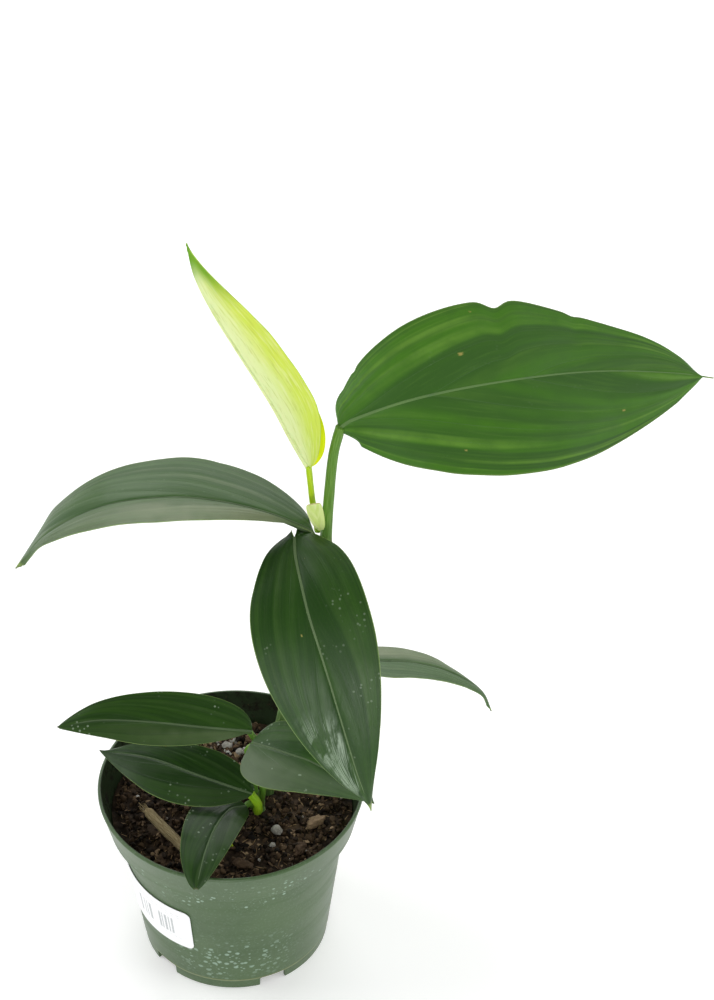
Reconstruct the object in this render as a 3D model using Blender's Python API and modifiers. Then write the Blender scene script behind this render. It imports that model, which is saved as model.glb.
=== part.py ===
"""A dragon tail plant in a round nursery pot, with one named solid for each piece.

The pot stands on its foot ring with +Z up, and the plant's front faces -Y. The plant grows from the
soil, so its routes are given from the middle of the soil surface. Sizes here are in millimetres, and
MM turns them into Blender's metres.
"""

import math
from dataclasses import dataclass

import bmesh
import bpy
from mathutils import Matrix, Vector, noise
from mathutils.bvhtree import BVHTree

MM = 0.001
GAP = 0.3  # clearance between two pieces that touch

# Pot: a turned shell with a flared rim band, a tapered wall and a notched foot ring
POT_HEIGHT = 86.5
POT_WALL = 1.2
POT_STEPS = 60
RIM_RADIUS = 57.2
LIP_WIDTH = 1.6
BAND_HEIGHT = 17.0
BAND_TAPER = 3.8
SHOULDER_DROP = 2.6
SHOULDER_STEP = 4.5
WALL_TAPER = 7.6
FOOT_HEIGHT = 5.6
FOOT_STEP = 0.8
FLOOR_RECESS = 3.4
FLOOR_THICKNESS = 1.4
DRAIN_COUNT = 5
DRAIN_WIDTH = 12.0
DRAIN_LENGTH = 7.0
DRAIN_FIRST_ANGLE = 25.0

# Soil: fills the pot to a level below the rim
SOIL_BELOW_RIM = 14.0
SOIL_ROUGHNESS = 1.2
SOIL_LUMP_SIZE = 9.0
SOIL_RINGS = 8
SOIL_STEPS = 40

# Label stuck round the left of the wall
LABEL_LENGTH = 66.7
LABEL_HEIGHT = 25.4
LABEL_THICKNESS = 0.25
LABEL_CORNER = 3.0
LABEL_RIGHT_END_ANGLE = -21.5
LABEL_BELOW_SHOULDER = 16.0

# Stems
MAIN_STEM_RADIUS = 3.0
MAIN_STEM_TOP_RADIUS = 2.5
SIDE_STEM_RADIUS = 2.6
STEM_BURIED_DEPTH = 22.0
ROOT_RADIUS = 1.3

# Leaves
BLADE_THICKNESS = 0.6
BLADE_BASE_WIDTH = 2.4
BLADE_TIP_WIDTH = 0.9
BLADE_COLUMNS = 6
SIDES_OF_TUBE = 2

POT_GREEN = (0.115, 0.205, 0.115)
SOIL_BROWN = (0.045, 0.022, 0.012)
BARK_TAN = (0.23, 0.12, 0.055)
PERLITE_WHITE = (0.75, 0.73, 0.68)
ROOT_CREAM = (0.55, 0.45, 0.28)
DRY_TAN = (0.42, 0.31, 0.16)
SHEATH_CREAM = (0.80, 0.84, 0.52)
LEAF_DARK = (0.020, 0.070, 0.022)
LEAF_MID = (0.035, 0.165, 0.022)
LEAF_GREY = (0.060, 0.110, 0.060)
LEAF_NEW = (0.58, 0.74, 0.14)
STEM_GREEN = (0.085, 0.210, 0.035)
PETIOLE_LIME = (0.36, 0.60, 0.06)
LABEL_WHITE = (0.88, 0.88, 0.86)

SOIL_LEVEL = POT_HEIGHT - SOIL_BELOW_RIM
BAND_BOTTOM = POT_HEIGHT - BAND_HEIGHT
BAND_BOTTOM_RADIUS = RIM_RADIUS - BAND_TAPER
WALL_TOP = BAND_BOTTOM - SHOULDER_DROP
WALL_TOP_RADIUS = BAND_BOTTOM_RADIUS - SHOULDER_STEP
WALL_BOTTOM_RADIUS = WALL_TOP_RADIUS - WALL_TAPER
FOOT_RADIUS = WALL_BOTTOM_RADIUS - FOOT_STEP
FLOOR_TOP = FLOOR_RECESS + FLOOR_THICKNESS


@dataclass
class Outline:
    """Half of a blade's outline: its width in mm, where it is widest, and how full it is."""

    width: float
    widest: float
    fullness: float

    def at(self, along):
        """Width from the midrib at a share of the blade's length, in mm."""
        if along <= 0.0 or along >= 1.0:
            return 0.0
        rise = (along / self.widest) ** self.widest
        fall = ((1.0 - along) / (1.0 - self.widest)) ** (1.0 - self.widest)
        return self.width * (rise * fall) ** self.fullness


@dataclass
class Blade:
    """A leaf blade: midrib route, the way its face looks, and the outline and fold of each half."""

    name: str
    route: list
    face_at_base: tuple
    face_at_tip: tuple
    left: Outline
    right: Outline
    left_fold: float
    right_fold: float
    colour: tuple
    rows: int = 12
    droop: float = 0.0


@dataclass
class Tube:
    """A stem, petiole or root: its route in mm from the soil's middle and its radius at each end."""

    name: str
    route: list
    start_radius: float
    end_radius: float
    colour: tuple
    points: int = 8
    straight_start: bool = False
    straight_end: bool = False


def on_soil(x, y, z):
    """World position in metres of a point given in mm from the middle of the soil surface."""
    return Vector((x, y, SOIL_LEVEL + z)) * MM


def smooth_route(points, count, spread=0.0):
    """Points along a smooth curve through the given ones, evenly spaced or closer at both ends."""
    points = [Vector(point) for point in points]
    times = [0.0]
    for before, after in zip(points, points[1:]):
        times.append(times[-1] + (after - before).length)
    slopes = []
    for index in range(len(points)):
        low = max(index - 1, 0)
        high = min(index + 1, len(points) - 1)
        slopes.append((points[high] - points[low]) / (times[high] - times[low]))
    fine = []
    for index in range(len(points) - 1):
        span = times[index + 1] - times[index]
        for step in range(24):
            t = step / 24
            value = points[index] * (2 * t**3 - 3 * t**2 + 1)
            value += slopes[index] * (t**3 - 2 * t**2 + t) * span
            value += points[index + 1] * (-2 * t**3 + 3 * t**2)
            value += slopes[index + 1] * (t**3 - t**2) * span
            fine.append(value)
    fine.append(points[-1])
    lengths = [0.0]
    for before, after in zip(fine, fine[1:]):
        lengths.append(lengths[-1] + (after - before).length)
    route = []
    for index in range(count):
        even = index / (count - 1)
        eased = 0.5 - 0.5 * math.cos(math.pi * even)
        goal = lengths[-1] * (even * (1 - spread) + eased * spread)
        place = 0
        while place < len(fine) - 2 and lengths[place + 1] < goal:
            place += 1
        share = (goal - lengths[place]) / (lengths[place + 1] - lengths[place])
        route.append(fine[place].lerp(fine[place + 1], share))
    return route


def laid_out(spec):
    """The centre line of a tube, with its first or last leg kept straight where it must be."""
    first = 1 if spec.straight_start else 0
    last = len(spec.route) - (1 if spec.straight_end else 0)
    count = spec.points - first - (len(spec.route) - last)
    route = [Vector(point) for point in spec.route[:first]]
    route += smooth_route(spec.route[first:last], count)
    return route + [Vector(point) for point in spec.route[last:]]


def route_length(route):
    """Length of a route, in its own unit."""
    return sum((after - before).length for before, after in zip(route, route[1:]))


def material(name, colour, roughness):
    """A plain surface of one colour."""
    made = bpy.data.materials.get(name) or bpy.data.materials.new(name)
    made.use_nodes = True
    made.diffuse_color = (*colour, 1.0)
    shader = made.node_tree.nodes["Principled BSDF"]
    shader.inputs["Base Color"].default_value = (*colour, 1.0)
    shader.inputs["Roughness"].default_value = roughness
    shader.inputs["Metallic"].default_value = 0.0
    return made


def add_object(name, data, collection, parent):
    """Link new mesh or curve data into the scene as a named object."""
    made = bpy.data.objects.new(name, data)
    collection.objects.link(made)
    made.parent = parent
    return made


def give_material(made, colour, roughness=0.5):
    """Give an object a material named for it."""
    made.data.materials.clear()
    made.data.materials.append(material("mat_" + made.name, colour, roughness))


def apply_modifiers(made):
    """Replace an object's data with its evaluated mesh, caps welded, and drop its modifiers."""
    graph = bpy.context.evaluated_depsgraph_get()
    mesh = bpy.data.meshes.new_from_object(made.evaluated_get(graph))
    mesh.name = made.name
    work = bmesh.new()
    work.from_mesh(mesh)
    bmesh.ops.remove_doubles(work, verts=work.verts, dist=1e-6)
    bmesh.ops.recalc_face_normals(work, faces=work.faces)
    work.to_mesh(mesh)
    work.free()
    if made.type == "CURVE":
        name = made.name
        curve = made.data
        made.name = name + "_route"
        solid = bpy.data.objects.new(name, mesh)
        made.users_collection[0].objects.link(solid)
        solid.parent = made.parent
        solid.matrix_world = made.matrix_world
        bpy.data.objects.remove(made)
        bpy.data.curves.remove(curve)
        return solid
    made.modifiers.clear()
    made.data = mesh
    return made


def turned(name, profile, steps, collection, parent):
    """A solid turned about Z from a profile in mm that runs down its outer side."""
    mesh = bpy.data.meshes.new(name)
    work = bmesh.new()
    corners = [work.verts.new((radius * MM, 0.0, height * MM)) for radius, height in profile]
    for before, after in zip(corners, corners[1:]):
        work.edges.new((before, after))
    work.to_mesh(mesh)
    work.free()
    made = add_object(name, mesh, collection, parent)
    screw = made.modifiers.new("turn", "SCREW")
    screw.steps = steps
    screw.render_steps = steps
    screw.use_merge_vertices = True
    screw.merge_threshold = 1e-6
    return apply_modifiers(made)


def tube(spec, collection, parent, clearance=0.0, start_reach=0.0):
    """A tapered tube along a route, or the wider cutter that leaves clearance all round it."""
    curve = bpy.data.curves.new(spec.name, "CURVE")
    curve.dimensions = "3D"
    curve.bevel_depth = MM
    curve.bevel_resolution = SIDES_OF_TUBE
    curve.use_fill_caps = True
    route = laid_out(spec)
    shares = [index / (len(route) - 1) for index in range(len(route))]
    if clearance:
        route[0] += (route[0] - route[1]).normalized() * start_reach
        route[-1] += (route[-1] - route[-2]).normalized() * clearance
    spline = curve.splines.new("POLY")
    spline.points.add(len(route) - 1)
    for point, place, share in zip(spline.points, route, shares):
        point.co = (*on_soil(*place), 1.0)
        point.radius = spec.start_radius * (1 - share) + spec.end_radius * share + clearance
    made = add_object(spec.name + ("_channel" if clearance else ""), curve, collection, parent)
    made = apply_modifiers(made)
    give_material(made, spec.colour, 0.4)
    made.data.shade_smooth()
    made.data.set_sharp_from_angle(angle=math.radians(50))
    return made


def cut(target, cutter):
    """Cut one solid out of another and keep the result as plain mesh."""
    boolean = target.modifiers.new("cut", "BOOLEAN")
    boolean.operation = "DIFFERENCE"
    boolean.solver = "EXACT"
    boolean.object = cutter
    return apply_modifiers(target)


def as_cutter(made, cutters):
    """Keep a finished cutter out of the model."""
    for collection in list(made.users_collection):
        collection.objects.unlink(made)
    cutters.objects.link(made)
    made.hide_render = True
    made.display_type = "WIRE"


def blade(spec, collection, parent):
    """A thin closed leaf blade: a grid laid along its midrib, then thickened."""
    columns = BLADE_COLUMNS
    work = bmesh.new()
    bmesh.ops.create_grid(work, x_segments=spec.rows, y_segments=columns, size=0.5)
    route = smooth_route(spec.route, spec.rows + 1, spread=0.75)
    length = route_length(route)
    base_face = Vector(spec.face_at_base)
    tip_face = Vector(spec.face_at_tip)
    run = [0.0]
    for before, after in zip(route, route[1:]):
        run.append(run[-1] + (after - before).length)
    for vert in work.verts:
        row = round((vert.co.x + 0.5) * spec.rows)
        across = vert.co.y * 2.0
        along = run[row] / length
        middle = route[row]
        ahead = route[min(row + 1, spec.rows)] - route[max(row - 1, 0)]
        ahead.normalize()
        side = ahead.cross(base_face.lerp(tip_face, along)).normalized()
        face = side.cross(ahead)
        half = spec.right if across > 0 else spec.left
        fold = math.radians(spec.right_fold if across > 0 else spec.left_fold)
        least = (BLADE_BASE_WIDTH * (1 - along) + BLADE_TIP_WIDTH * along) / 2
        width = max(half.at(along), least) * abs(across)
        open_share = min(1.0, half.at(along) / (3 * least))
        fold *= open_share
        sideways = width * math.cos(fold) * (1 if across > 0 else -1)
        lift = width * math.sin(fold) - spec.droop * open_share * across**2
        vert.co = on_soil(*(middle + side * sideways + face * lift))
    mesh = bpy.data.meshes.new(spec.name)
    bmesh.ops.recalc_face_normals(work, faces=work.faces)
    work.to_mesh(mesh)
    work.free()
    made = add_object(spec.name, mesh, collection, parent)
    skin = made.modifiers.new("thickness", "SOLIDIFY")
    skin.thickness = BLADE_THICKNESS * MM
    skin.offset = 0.0
    made = apply_modifiers(made)
    give_material(made, spec.colour, 0.35)
    made.data.shade_smooth()
    return made


def pot(collection, cutters, parent):
    """The pot: a turned shell, with drain slots cut through the foot of its wall."""
    lip = LIP_WIDTH
    inner_band = BAND_BOTTOM_RADIUS - POT_WALL
    profile = [
        (RIM_RADIUS - lip, POT_HEIGHT),
        (RIM_RADIUS - 0.5, POT_HEIGHT),
        (RIM_RADIUS, POT_HEIGHT - 0.6),
        (RIM_RADIUS - 0.5, POT_HEIGHT - 2.2),
        (BAND_BOTTOM_RADIUS, BAND_BOTTOM),
        (WALL_TOP_RADIUS, WALL_TOP),
        (WALL_BOTTOM_RADIUS, FOOT_HEIGHT),
        (FOOT_RADIUS + 0.4, FOOT_HEIGHT - 0.8),
        (FOOT_RADIUS, 0.0),
        (FOOT_RADIUS - POT_WALL - 0.6, 0.0),
        (FOOT_RADIUS - POT_WALL - 0.8, FLOOR_RECESS),
        (0.0, FLOOR_RECESS),
        (0.0, FLOOR_TOP),
        (WALL_BOTTOM_RADIUS - POT_WALL - 1.2, FLOOR_TOP),
        (WALL_BOTTOM_RADIUS - POT_WALL, FLOOR_TOP + 1.6),
        (WALL_TOP_RADIUS - POT_WALL, WALL_TOP + POT_WALL),
        (inner_band, BAND_BOTTOM + POT_WALL),
        (RIM_RADIUS - lip, POT_HEIGHT),
    ]
    made = turned("pot", profile, POT_STEPS, collection, parent)
    for index in range(DRAIN_COUNT):
        angle = math.radians(DRAIN_FIRST_ANGLE + index * 360.0 / DRAIN_COUNT - 90.0)
        bpy.ops.mesh.primitive_cube_add(size=1.0)
        slot = bpy.context.active_object
        slot.name = "drain_cutter_%d" % (index + 1)
        low = -1.0
        high = FOOT_HEIGHT - 0.2
        reach = WALL_BOTTOM_RADIUS - DRAIN_LENGTH / 2
        place = Matrix.Rotation(angle, 4, "Z") @ Matrix.Translation((reach * MM, 0, (low + high) / 2 * MM))
        size = Matrix.Diagonal((DRAIN_LENGTH * MM + 0.004, DRAIN_WIDTH * MM, (high - low) * MM, 1.0))
        slot.data.transform(place @ size)
        as_cutter(slot, cutters)
        made = cut(made, slot)
    give_material(made, POT_GREEN, 0.5)
    made.data.shade_smooth()
    made.data.set_sharp_from_angle(angle=math.radians(30))
    return made


def inner_radius(height):
    """Inside radius of the pot at a height above its foot, in mm."""
    if height >= BAND_BOTTOM + POT_WALL:
        share = (height - BAND_BOTTOM - POT_WALL) / (POT_HEIGHT - BAND_BOTTOM - POT_WALL)
        low = BAND_BOTTOM_RADIUS - POT_WALL
        return low + (RIM_RADIUS - LIP_WIDTH - low) * share
    top = WALL_TOP + POT_WALL
    foot = FLOOR_TOP + 1.6
    if height >= top:
        share = (height - top) / (BAND_BOTTOM - WALL_TOP)
        return WALL_TOP_RADIUS + SHOULDER_STEP * share - POT_WALL
    share = (height - foot) / (top - foot)
    return WALL_BOTTOM_RADIUS + WALL_TAPER * share - POT_WALL


def soil(collection, parent):
    """The soil: a plug that fits inside the pot, with a lumpy top."""
    fit = GAP * 1.3
    chord = 1.0 - math.cos(math.pi / POT_STEPS)
    top = SOIL_LEVEL
    edge = inner_radius(top) * (1 - chord) - fit
    profile = [(0.0, top)]
    for ring in range(1, SOIL_RINGS):
        profile.append((edge * ring / SOIL_RINGS, top))
    profile.append((edge, top))
    for height in (BAND_BOTTOM + POT_WALL, WALL_TOP + POT_WALL, FLOOR_TOP + 1.6):
        profile.append((inner_radius(height) * (1 - chord) - fit, height + (fit if height > 20 else 0)))
    bottom = FLOOR_TOP + GAP
    profile.append((WALL_BOTTOM_RADIUS - POT_WALL - 1.8, bottom))
    profile.append((0.0, bottom))
    made = turned("soil", profile, SOIL_STEPS, collection, parent)
    for vert in made.data.vertices:
        height = vert.co.z / MM
        radius = math.hypot(vert.co.x, vert.co.y) / MM
        if abs(height - top) < 0.01:
            bump = noise.noise(vert.co / (SOIL_LUMP_SIZE * MM))
            fade = 0.4 if radius > edge - 0.01 else 1.0
            vert.co.z += SOIL_ROUGHNESS * bump * fade * MM * 2
    give_material(made, SOIL_BROWN, 0.95)
    return made


def label(collection, parent):
    """The paper label, a thin skin that follows the taper of the wall."""
    top = WALL_TOP - LABEL_BELOW_SHOULDER
    slope = WALL_TAPER / (WALL_TOP - FOOT_HEIGHT)
    middle_radius = WALL_TOP_RADIUS - slope * (LABEL_BELOW_SHOULDER + LABEL_HEIGHT / 2)
    sweep = LABEL_LENGTH / middle_radius
    columns = 24
    work = bmesh.new()
    bmesh.ops.create_grid(work, x_segments=columns, y_segments=4, size=0.5)
    for vert in work.verts:
        along = vert.co.x * LABEL_LENGTH
        down = (0.5 - vert.co.y) * LABEL_HEIGHT
        past = abs(along) - (LABEL_LENGTH / 2 - LABEL_CORNER)
        if past > 0:
            round_in = LABEL_CORNER - math.sqrt(max(LABEL_CORNER**2 - past**2, 0.0))
            down = round_in + down * (LABEL_HEIGHT - 2 * round_in) / LABEL_HEIGHT
        height = top - down
        radius = WALL_TOP_RADIUS - slope * (WALL_TOP - height) + GAP + LABEL_THICKNESS / 2
        turn = math.radians(LABEL_RIGHT_END_ANGLE - 90.0) - sweep / 2 + sweep * along / LABEL_LENGTH
        vert.co = Vector((radius * math.cos(turn), radius * math.sin(turn), height)) * MM
    mesh = bpy.data.meshes.new("pot_label")
    work.to_mesh(mesh)
    work.free()
    made = add_object("pot_label", mesh, collection, parent)
    skin = made.modifiers.new("thickness", "SOLIDIFY")
    skin.thickness = LABEL_THICKNESS * MM
    skin.offset = 0.0
    made = apply_modifiers(made)
    give_material(made, LABEL_WHITE, 0.6)
    made.data.shade_smooth()
    made.data.set_sharp_from_angle(angle=math.radians(40))
    return made


def top_of(solids, x, y, reach):
    """Highest point in mm, from the soil level, of the given solids within a reach of a place."""
    highest = -1e9
    for tree in solids:
        for ring in (0.0, 0.5, 1.0):
            for step in range(8):
                angle = step * math.pi / 4
                start = on_soil(x + ring * reach * math.cos(angle), y + ring * reach * math.sin(angle), 25)
                hit = tree.ray_cast(start, Vector((0, 0, -1)), 0.08)[0]
                if hit is not None:
                    highest = max(highest, hit.z / MM - SOIL_LEVEL)
    return highest


def grain(name, x, y, size, stretch, turn, seed, colour, ground, collection, parent):
    """A crumb of perlite or bark that lies on the soil."""
    bpy.ops.mesh.primitive_ico_sphere_add(subdivisions=2, radius=0.5)
    made = bpy.context.active_object
    made.name = name
    made.data.name = name
    for vert in made.data.vertices:
        lump = 1.0 + 0.22 * noise.noise(vert.co * 3.0 + Vector((seed, 0, 0)))
        vert.co = Vector((vert.co.x * stretch, vert.co.y, vert.co.z * 0.7)) * lump * size * MM
    made.data.transform(Matrix.Rotation(math.radians(turn), 4, "Z"))
    low = min(vert.co.z for vert in made.data.vertices)
    height = top_of([ground], x, y, size * stretch / 2) + GAP
    made.data.transform(Matrix.Translation(on_soil(x, y, height) - Vector((0, 0, low))))
    for other in list(made.users_collection):
        other.objects.unlink(made)
    collection.objects.link(made)
    made.parent = parent
    give_material(made, colour, 0.9)
    made.data.shade_smooth()
    return made


MAIN_STEM = Tube("main_stem", [(15, 8, -STEM_BURIED_DEPTH), (15, 8, 0), (20, 7.5, 30), (28, 6.5, 75),
                               (36, 5.5, 112), (41, 5, 141)],
                 MAIN_STEM_RADIUS, MAIN_STEM_TOP_RADIUS, STEM_GREEN, points=12)
SIDE_STEM = Tube("side_stem", [(11.5, -2.5, -STEM_BURIED_DEPTH), (11.5, -2.5, -8), (11.5, -2.5, 8)],
                 SIDE_STEM_RADIUS, SIDE_STEM_RADIUS, STEM_GREEN, points=5)

BLADES = [
    Blade("leaf_1_blade",
          [(35.2, 7, 181.5), (28.9, 7, 195.5), (21.4, 7, 213.5), (9.3, 7, 238), (0.1, 7, 257), (-6.4, 7, 274),
           (-9, 7, 289)],
          (0.86, 0.0, 0.5), (0.86, 0.0, 0.5),
          Outline(21, 0.42, 1.6), Outline(16, 0.25, 1.9), 70, 84, LEAF_NEW),
    Blade("leaf_2_blade",
          [(46.5, 8, 200.2), (52, 8.5, 204.5), (78, 11, 213.5), (114, 19, 216), (148, 28, 213.5),
           (180, 34, 208), (195, 36, 204)],
          (0.0, -0.49, 0.88), (0.0, -0.49, 0.88),
          Outline(34.8, 0.40, 1.7), Outline(40.3, 0.47, 1.67), 6, 6, LEAF_MID, rows=14),
    Blade("leaf_3_blade",
          [(37.0, 1.0, 152.5), (35.0, 0.9, 155.2), (18, 0.5, 164.5), (-1, 0, 170.7), (-20, 0, 172.7), (-46, -3, 170.6),
           (-68, -6, 159.2), (-82, -8, 142.5)],
          (0.0, 0.05, 1.0), (-0.5, 0.29, 0.82),
          Outline(23.5, 0.56, 4.2), Outline(28, 0.50, 0.85), 8, 8, LEAF_GREY, rows=14),
    Blade("leaf_4_blade",
          [(29, -3, 154.5), (29.6, -13, 153), (32, -25, 149), (35, -35, 141.5), (39, -43, 131.5), (43.5, -50.5, 118.5),
           (50.5, -60, 95), (54.5, -63, 80), (59.5, -64, 62.5)],
          (-0.14, -0.61, 0.78), (-0.2, -0.9, 0.38),
          Outline(24.2, 0.31, 1.7), Outline(25, 0.39, 1.75), 7, 7, LEAF_DARK, rows=16),
    Blade("leaf_5_blade",
          [(42.6, 10, 76.5), (63.5, 18, 67.8), (76.6, 20, 65.3), (92, 20, 60.1), (107, 20, 48.4), (111.4, 19, 37.6)],
          (-0.02, 0.22, 0.97), (0.37, 0.22, 0.9),
          Outline(12, 0.28, 2.0), Outline(14.5, 0.30, 2.0), 5, 5, LEAF_GREY),
    Blade("leaf_6_blade",
          [(9.5, 1.8, 42.2), (-12, 2, 44.7), (-33, 2, 47.6), (-54, 0, 50.7), (-72, -2, 48.6)],
          (0.0, -0.42, 0.92), (0.0, -0.42, 0.92),
          Outline(10.6, 0.52, 2.0), Outline(14.7, 0.34, 1.25), 6, 6, LEAF_DARK),
    Blade("leaf_7_blade",
          [(10.0, -13.5, 20.0), (-12.8, -7.8, 25.5), (-34.6, 3, 25.5), (-56.7, 11.4, 21.5)],
          (-0.04, -0.3, 0.96), (-0.04, -0.3, 0.96),
          Outline(16.6, 0.47, 2.0), Outline(13.3, 0.32, 1.75), 6, 6, LEAF_DARK),
    Blade("leaf_8_blade",
          [(9.5, -6, 43.5), (16, -11, 46), (27, -18, 48), (35, -22, 48), (49, -27, 41.5), (61, -30, 31.5)],
          (0.08, -0.4, 0.93), (0.08, -0.4, 0.93),
          Outline(15, 0.31, 1.2), Outline(18.6, 0.25, 1.6), 5, 5, LEAF_DARK),
    Blade("leaf_9_blade",
          [(6.5, -10, 9.5), (0, -17, 14.5), (-5.3, -30, 17.8), (-9, -45, 19.2), (-10.6, -55, 19.0), (-12, -65, 17.6)],
          (0.1, -0.1, 1.0), (0.1, -0.1, 1.0),
          Outline(10, 0.39, 1.2), Outline(13.5, 0.31, 0.8), 6, 6, LEAF_DARK),
]


def beside(stem, height, angle, radius):
    """A point just clear of a stem at a height, on the side at an angle, for a petiole to start."""
    route = stem.route
    for low, high in zip(route, route[1:]):
        if low[2] <= height <= high[2]:
            break
    share = (height - low[2]) / (high[2] - low[2])
    centre = Vector(low).lerp(Vector(high), share)
    reach = stem.start_radius + GAP + radius
    turn = math.radians(angle)
    return centre + Vector((math.cos(turn), math.sin(turn), 0)) * reach


def petiole(number, start, middle, start_radius, end_radius, colour, points=8, reach=2.6):
    """The petiole of one leaf: from its stem, through middle points, to just short of the blade."""
    route = BLADES[number - 1].route
    begin = Vector(route[0])
    heading = (smooth_route(route, 40)[1] - begin).normalized()
    end = begin - heading * (GAP + 0.1)
    bend = begin - heading * reach
    return Tube("leaf_%d_petiole" % number, [start, *middle, bend, end], start_radius, end_radius,
                colour, points, straight_end=True)


def petioles():
    """Every petiole, in order."""
    return [
        petiole(1, Vector((38.2, 10.2, 147.5)), [(36.3, 10.2, 160.5), (35.5, 8.4, 172)], 1.3, 1.2, PETIOLE_LIME, 8),
        petiole(2, Vector((41.2, 5, 144.0)), [(42.6, 6, 165), (44.6, 7.4, 188)], 2.3, 1.9, STEM_GREEN, 9),
        petiole(3, beside(MAIN_STEM, 108, 215, 1.6), [(32.8, 0.6, 125), (35.8, 0.6, 145)], 1.6, 1.3, STEM_GREEN, 10, reach=1.4),
        petiole(4, beside(MAIN_STEM, 80, 265, 1.8),
                [beside(MAIN_STEM, 110, 211, 1.8 + 2 * 1.6 + GAP + 0.2), (28.8, 2.0, 140), (28.8, 1.6, 150)],
                1.8, 1.4, STEM_GREEN, 14),
        petiole(5, beside(MAIN_STEM, 52, 20, 1.7), [(33.0, 8.5, 66)], 1.7, 1.5, STEM_GREEN, 7),
        petiole(6, beside(SIDE_STEM, 3, 150, 1.5), [(9.5, 1.5, 18), (10.8, 2.0, 36)], 1.5, 1.3, STEM_GREEN, 9),
        petiole(7, beside(SIDE_STEM, 1, 250, 1.7), [(11.4, -10.5, 7), (12.6, -13.6, 15)], 1.7, 1.4, PETIOLE_LIME, 8),
        petiole(8, beside(SIDE_STEM, 5, 320, 1.5), [(13.5, -5.5, 18), (7.6, -4.4, 36.5)], 1.5, 1.3, STEM_GREEN, 9),
        petiole(9, beside(SIDE_STEM, 0, 200, 1.5), [(7.8, -5.6, 6.5)], 1.4, 1.2, STEM_GREEN, 6),
    ]


def room_to_wall(start, outward):
    """Level distance from a place in the soil to the inside of the pot's wall at its foot."""
    wall = WALL_BOTTOM_RADIUS - POT_WALL
    ahead = start.x * outward.x + start.y * outward.y
    return math.sqrt(ahead * ahead + wall * wall - start.x ** 2 - start.y ** 2) - ahead


def roots():
    """Roots that spread in the soil from the buried foot of each stem, short of the pot's wall."""
    made = []
    depth = STEM_BURIED_DEPTH
    spread = [("main_root", MAIN_STEM, (10, 60, 120, -20)), ("side_root", SIDE_STEM, (160, 215, 270, -45))]
    for name, stem, angles in spread:
        foot = Vector(stem.route[0])
        for index, degrees in enumerate(angles):
            turn = math.radians(degrees)
            outward = Vector((math.cos(turn), math.sin(turn), 0))
            level = depth - 3.5 - 3.4 * (index % 2)
            start = foot + outward * (stem.start_radius + GAP) + Vector((0, 0, depth - level))
            reach = min(15.0 + 4.0 * (index % 3), room_to_wall(start, outward) - ROOT_RADIUS - 1.0)
            middle = start + outward * reach * 0.5 - Vector((0, 0, 5))
            end = start + outward * reach - Vector((0, 0, 18))
            made.append(Tube("%s_%d" % (name, index + 1), [start, start + outward * 1.5, middle, end],
                             ROOT_RADIUS, ROOT_RADIUS * 0.45, ROOT_CREAM, 6, straight_start=True))
    return made


def channel(spec, start_reach, collection, cutters, parent):
    """A cutter that leaves clearance round a buried tube."""
    made = tube(spec, collection, parent, clearance=GAP, start_reach=start_reach)
    as_cutter(made, cutters)
    return made


GRAINS = [
    # name, x, y, size, stretch, turn, colour
    ("perlite_1", 19.9, -17.1, 4.2, 1.1, 20, PERLITE_WHITE),
    ("perlite_2", 18.0, -24.5, 2.4, 1.1, 70, PERLITE_WHITE),
    ("perlite_3", -3.5, 35.0, 3.6, 1.2, 10, PERLITE_WHITE),
    ("perlite_4", 2.2, 31.0, 3.2, 1.1, 50, PERLITE_WHITE),
    ("perlite_5", -7.5, 29.5, 2.8, 1.3, 120, PERLITE_WHITE),
    ("perlite_6", 34.0, 10.0, 2.6, 1.2, 35, PERLITE_WHITE),
    ("bark_1", 36.0, -12.0, 4.6, 1.8, 30, BARK_TAN),
    ("bark_2", 30.0, -27.0, 4.2, 1.7, 75, BARK_TAN),
    ("bark_3", 6.0, -36.5, 4.0, 1.9, 160, BARK_TAN),
    ("bark_4", -30.0, 6.5, 4.2, 1.8, 15, BARK_TAN),
    ("bark_5", -14.0, -12.0, 3.8, 1.7, 100, BARK_TAN),
    ("bark_6", 9.5, 38.5, 4.4, 1.8, 5, BARK_TAN),
    ("bark_7", -22.0, 27.0, 4.0, 1.6, 130, BARK_TAN),
    ("bark_8", 25.0, 29.5, 4.2, 1.9, 60, BARK_TAN),
]


def lay_on(solids, spec, clearance):
    """Raise a tube's route so that each point clears what lies under it."""
    raised = []
    for index, point in enumerate(spec.route):
        share = index / (len(spec.route) - 1)
        radius = spec.start_radius * (1 - share) + spec.end_radius * share
        ground = top_of(solids, point[0], point[1], radius + 1.0)
        raised.append((point[0], point[1], ground + radius + clearance + point[2]))
    spec.route = raised
    return spec


def centre_on_origin(parts, root):
    """Move the root so that the middle of the plant's plan box stands on the origin."""
    bpy.context.view_layer.update()
    corners = [part.matrix_world @ vert.co for part in parts.objects if part.type == "MESH"
               for vert in part.data.vertices]
    middle_x = (min(c.x for c in corners) + max(c.x for c in corners)) / 2
    middle_y = (min(c.y for c in corners) + max(c.y for c in corners)) / 2
    root.location = (-middle_x, -middle_y, 0.0)


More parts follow.
